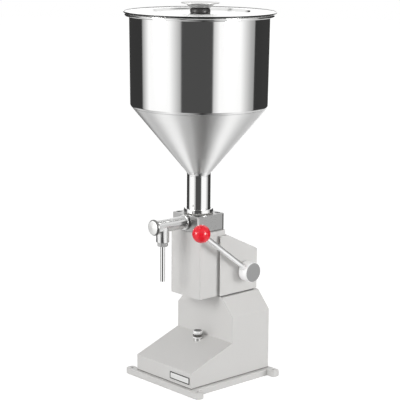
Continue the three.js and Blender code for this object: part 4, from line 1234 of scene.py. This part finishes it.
@dataclass
class Studio:
    """Camera, soft light, white surround and floor."""

    place: Point = (1.8254, -1.6625, 0.8426)
    target: Point = (0.0, 0.0, 0.33394)
    roll: float = math.radians(0.467)
    lens: float = 125.474
    sensor: float = 36.0
    shift: Pair = (0.00314, -0.00056)
    far_clip: float = 60.0
    ambient: float = 0.46
    fan_centre: Pair = (-0.731, 0.666)
    roof_rise: Pair = (0.22, 0.5)
    fan_drop: Pair = (-0.5, -0.3)
    floor_radius: float = 9.0
    floor_steps: int = 64
    floor_drop: float = 0.2 * MM
    floor_tone: float = 0.8
    floor_roughness: float = 0.9
    floor_glow: float = 1.35
    glow_share: float = 0.65
    lamps: tuple[Lamp, ...] = (
        Lamp("key_lamp", (2.2, 1.5, 0.5), (0.0, 0.0, 0.2), size=1.0, power=35.0),
        Lamp("front_lamp", (0.15, -2.5, 1.4), (0.0, 0.0, 0.2), size=1.3, power=38.0),
        Lamp("left_catch", (-0.6, -1.9, 0.7), (0.0, 0.0, 0.29), size=0.7, power=24.0, in_gloss=True),
        Lamp("right_catch", (1.98, 0.27, 0.7), (0.0, 0.0, 0.29), size=0.7, power=24.0, in_gloss=True))

    def camera(self) -> None:
        """Makes the camera at the photograph's viewpoint."""
        data = bpy.data.cameras.new("camera")
        data.sensor_width = self.sensor
        data.lens = self.lens
        data.shift_x, data.shift_y = self.shift
        data.clip_end = self.far_clip
        ahead = (Vector(self.target) - Vector(self.place)).normalized()
        level = ahead.cross(Vector((0.0, 0.0, 1.0))).normalized()
        upright = level.cross(ahead)
        right = math.cos(self.roll) * level + math.sin(self.roll) * upright
        above = math.cos(self.roll) * upright - math.sin(self.roll) * level
        camera = add_object("camera", data)
        camera.matrix_world = (Matrix.Translation(self.place)
                               @ Matrix((right, above, -ahead)).transposed().to_4x4())
        bpy.context.scene.camera = camera

    def surround(self) -> None:
        """Makes the world: plain soft light, white behind, and tall light panels that gloss reflects."""
        world = bpy.data.worlds.new("studio")
        bpy.context.scene.world = world
        world.use_nodes = True
        graph = Graph(world.node_tree)
        path = graph.node("ShaderNodeLightPath").outputs
        way = graph.node("ShaderNodeSeparateXYZ", {
            "Vector": graph.node("ShaderNodeTexCoord").outputs["Generated"]}).outputs
        lit = graph.blend(path["Is Glossy Ray"], rgba(grey(self.ambient, 0.0)), self.panels(graph, way))
        seen = graph.math("MAXIMUM", path["Is Camera Ray"], path["Is Transmission Ray"])
        graph.preset(world.node_tree.nodes["Background"],
                     {"Color": graph.blend(seen, lit, rgba(WHITE)), "Strength": 1.0})

    def panels(self, graph: Graph, way: Outputs) -> Socket:
        """Makes the tall panels, the dark room between them and the roof, as gloss sees them.

        Args:
            graph: The world's graph.
            way: The parts of the direction.

        Returns:
            The light from each direction.
        """
        level = self.ring(graph, way, (0.0, 0.0), ROOM_LEVELS)
        lower = self.ring(graph, way, self.fan_centre, FAN_LEVELS)
        above = graph.spread(way["Z"], *self.roof_rise, smooth=True)
        below = graph.spread(way["Z"], *self.fan_drop, start=1.0, end=0.0, smooth=True)
        roof = self.ramp(graph, graph.spread(way["X"], -1.0, 1.0),
                         [((across + 1) / 2, light) for across, light in ROOF_LEVELS])
        return graph.blend(below, graph.blend(above, level, roof), lower)

    def ring(self, graph: Graph, way: Outputs, centre: Pair,
             levels: Sequence[Pair]) -> Socket:
        """Makes light levels that change round an upright line.

        Args:
            graph: The world's graph.
            way: The parts of the direction.
            centre: Where the line stands in the circle of directions.
            levels: Degrees round the line, and the level there.

        Returns:
            The light level as a colour.
        """
        across = graph.math("SUBTRACT", way["X"], centre[0])
        ahead = graph.math("SUBTRACT", centre[1], way["Y"])
        share = graph.spread(graph.math("ARCTAN2", across, ahead), -math.pi, math.pi)
        return self.ramp(graph, share, [((angle + 180) / 360, level) for angle, level in levels])

    @staticmethod
    def ramp(graph: Graph, share: Socket, stops: Sequence[Pair]) -> Socket:
        """Makes a grey ramp.

        Args:
            graph: The graph that it goes into.
            share: What it follows, from 0 to 1.
            stops: Place between 0 and 1, and the level there.

        Returns:
            The ramp's colour.
        """
        made = graph.node("ShaderNodeValToRGB", {"Fac": share})
        elements = made.color_ramp.elements
        while len(elements) < len(stops):
            elements.new(0.5)
        for element, (place, level) in zip(elements, stops):
            element.position = place
            element.color = rgba(grey(level, 0.0))
        return made.outputs["Color"]

    def floor_finish(self) -> bpy.types.Material:
        """Makes the floor's material, which glows towards the camera and still takes a shadow.

        Returns:
            The material.
        """
        finish = bpy.data.materials.new("white_floor")
        finish.use_nodes = True
        nodes = finish.node_tree.nodes
        graph = Graph(finish.node_tree)
        graph.preset(nodes["Principled BSDF"], {
            "Base Color": rgba(grey(self.floor_tone, 0.0)), "Roughness": self.floor_roughness,
            "Specular IOR Level": 0.0})
        glow = graph.node("ShaderNodeEmission", {"Strength": self.floor_glow})
        mixed = graph.node("ShaderNodeMixShader")
        path = graph.node("ShaderNodeLightPath")
        share = graph.math("MULTIPLY", path.outputs["Is Camera Ray"], self.glow_share)
        fed = (share, nodes["Principled BSDF"].outputs[0], glow.outputs[0])
        for socket, value in zip(mixed.inputs, fed):
            graph.feed(socket, value)
        graph.preset(nodes["Material Output"], {"Surface": mixed.outputs[0]})
        return finish

    def floor(self) -> None:
        """Lays the white floor."""
        form = bmesh.new()
        bmesh.ops.create_circle(form, cap_ends=True, segments=self.floor_steps, radius=self.floor_radius)
        floor = add_mesh(form, "floor", [self.floor_finish()])
        floor.location = (0.0, 0.0, -self.floor_drop)
        floor.visible_glossy = False

    def build(self) -> None:
        """Makes the whole studio."""
        bpy.context.scene.view_settings.view_transform = "Standard"
        self.camera()
        self.surround()
        self.floor()
        for lamp in self.lamps:
            lamp.hang()


def main() -> None:
    """Builds the machine and its studio in order."""
    logging.basicConfig(level=logging.INFO, format="%(message)s")
    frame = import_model()
    shop = Workshop(frame)
    for kind in (Stand, StopScrew, Column, PumpHead, Outlet, Hopper, Lid, Housing, LeverGear):
        kind(shop).build()
        LOG.info("built %s", kind.__name__)
    Studio().build()


if __name__ == "__main__":
    main()
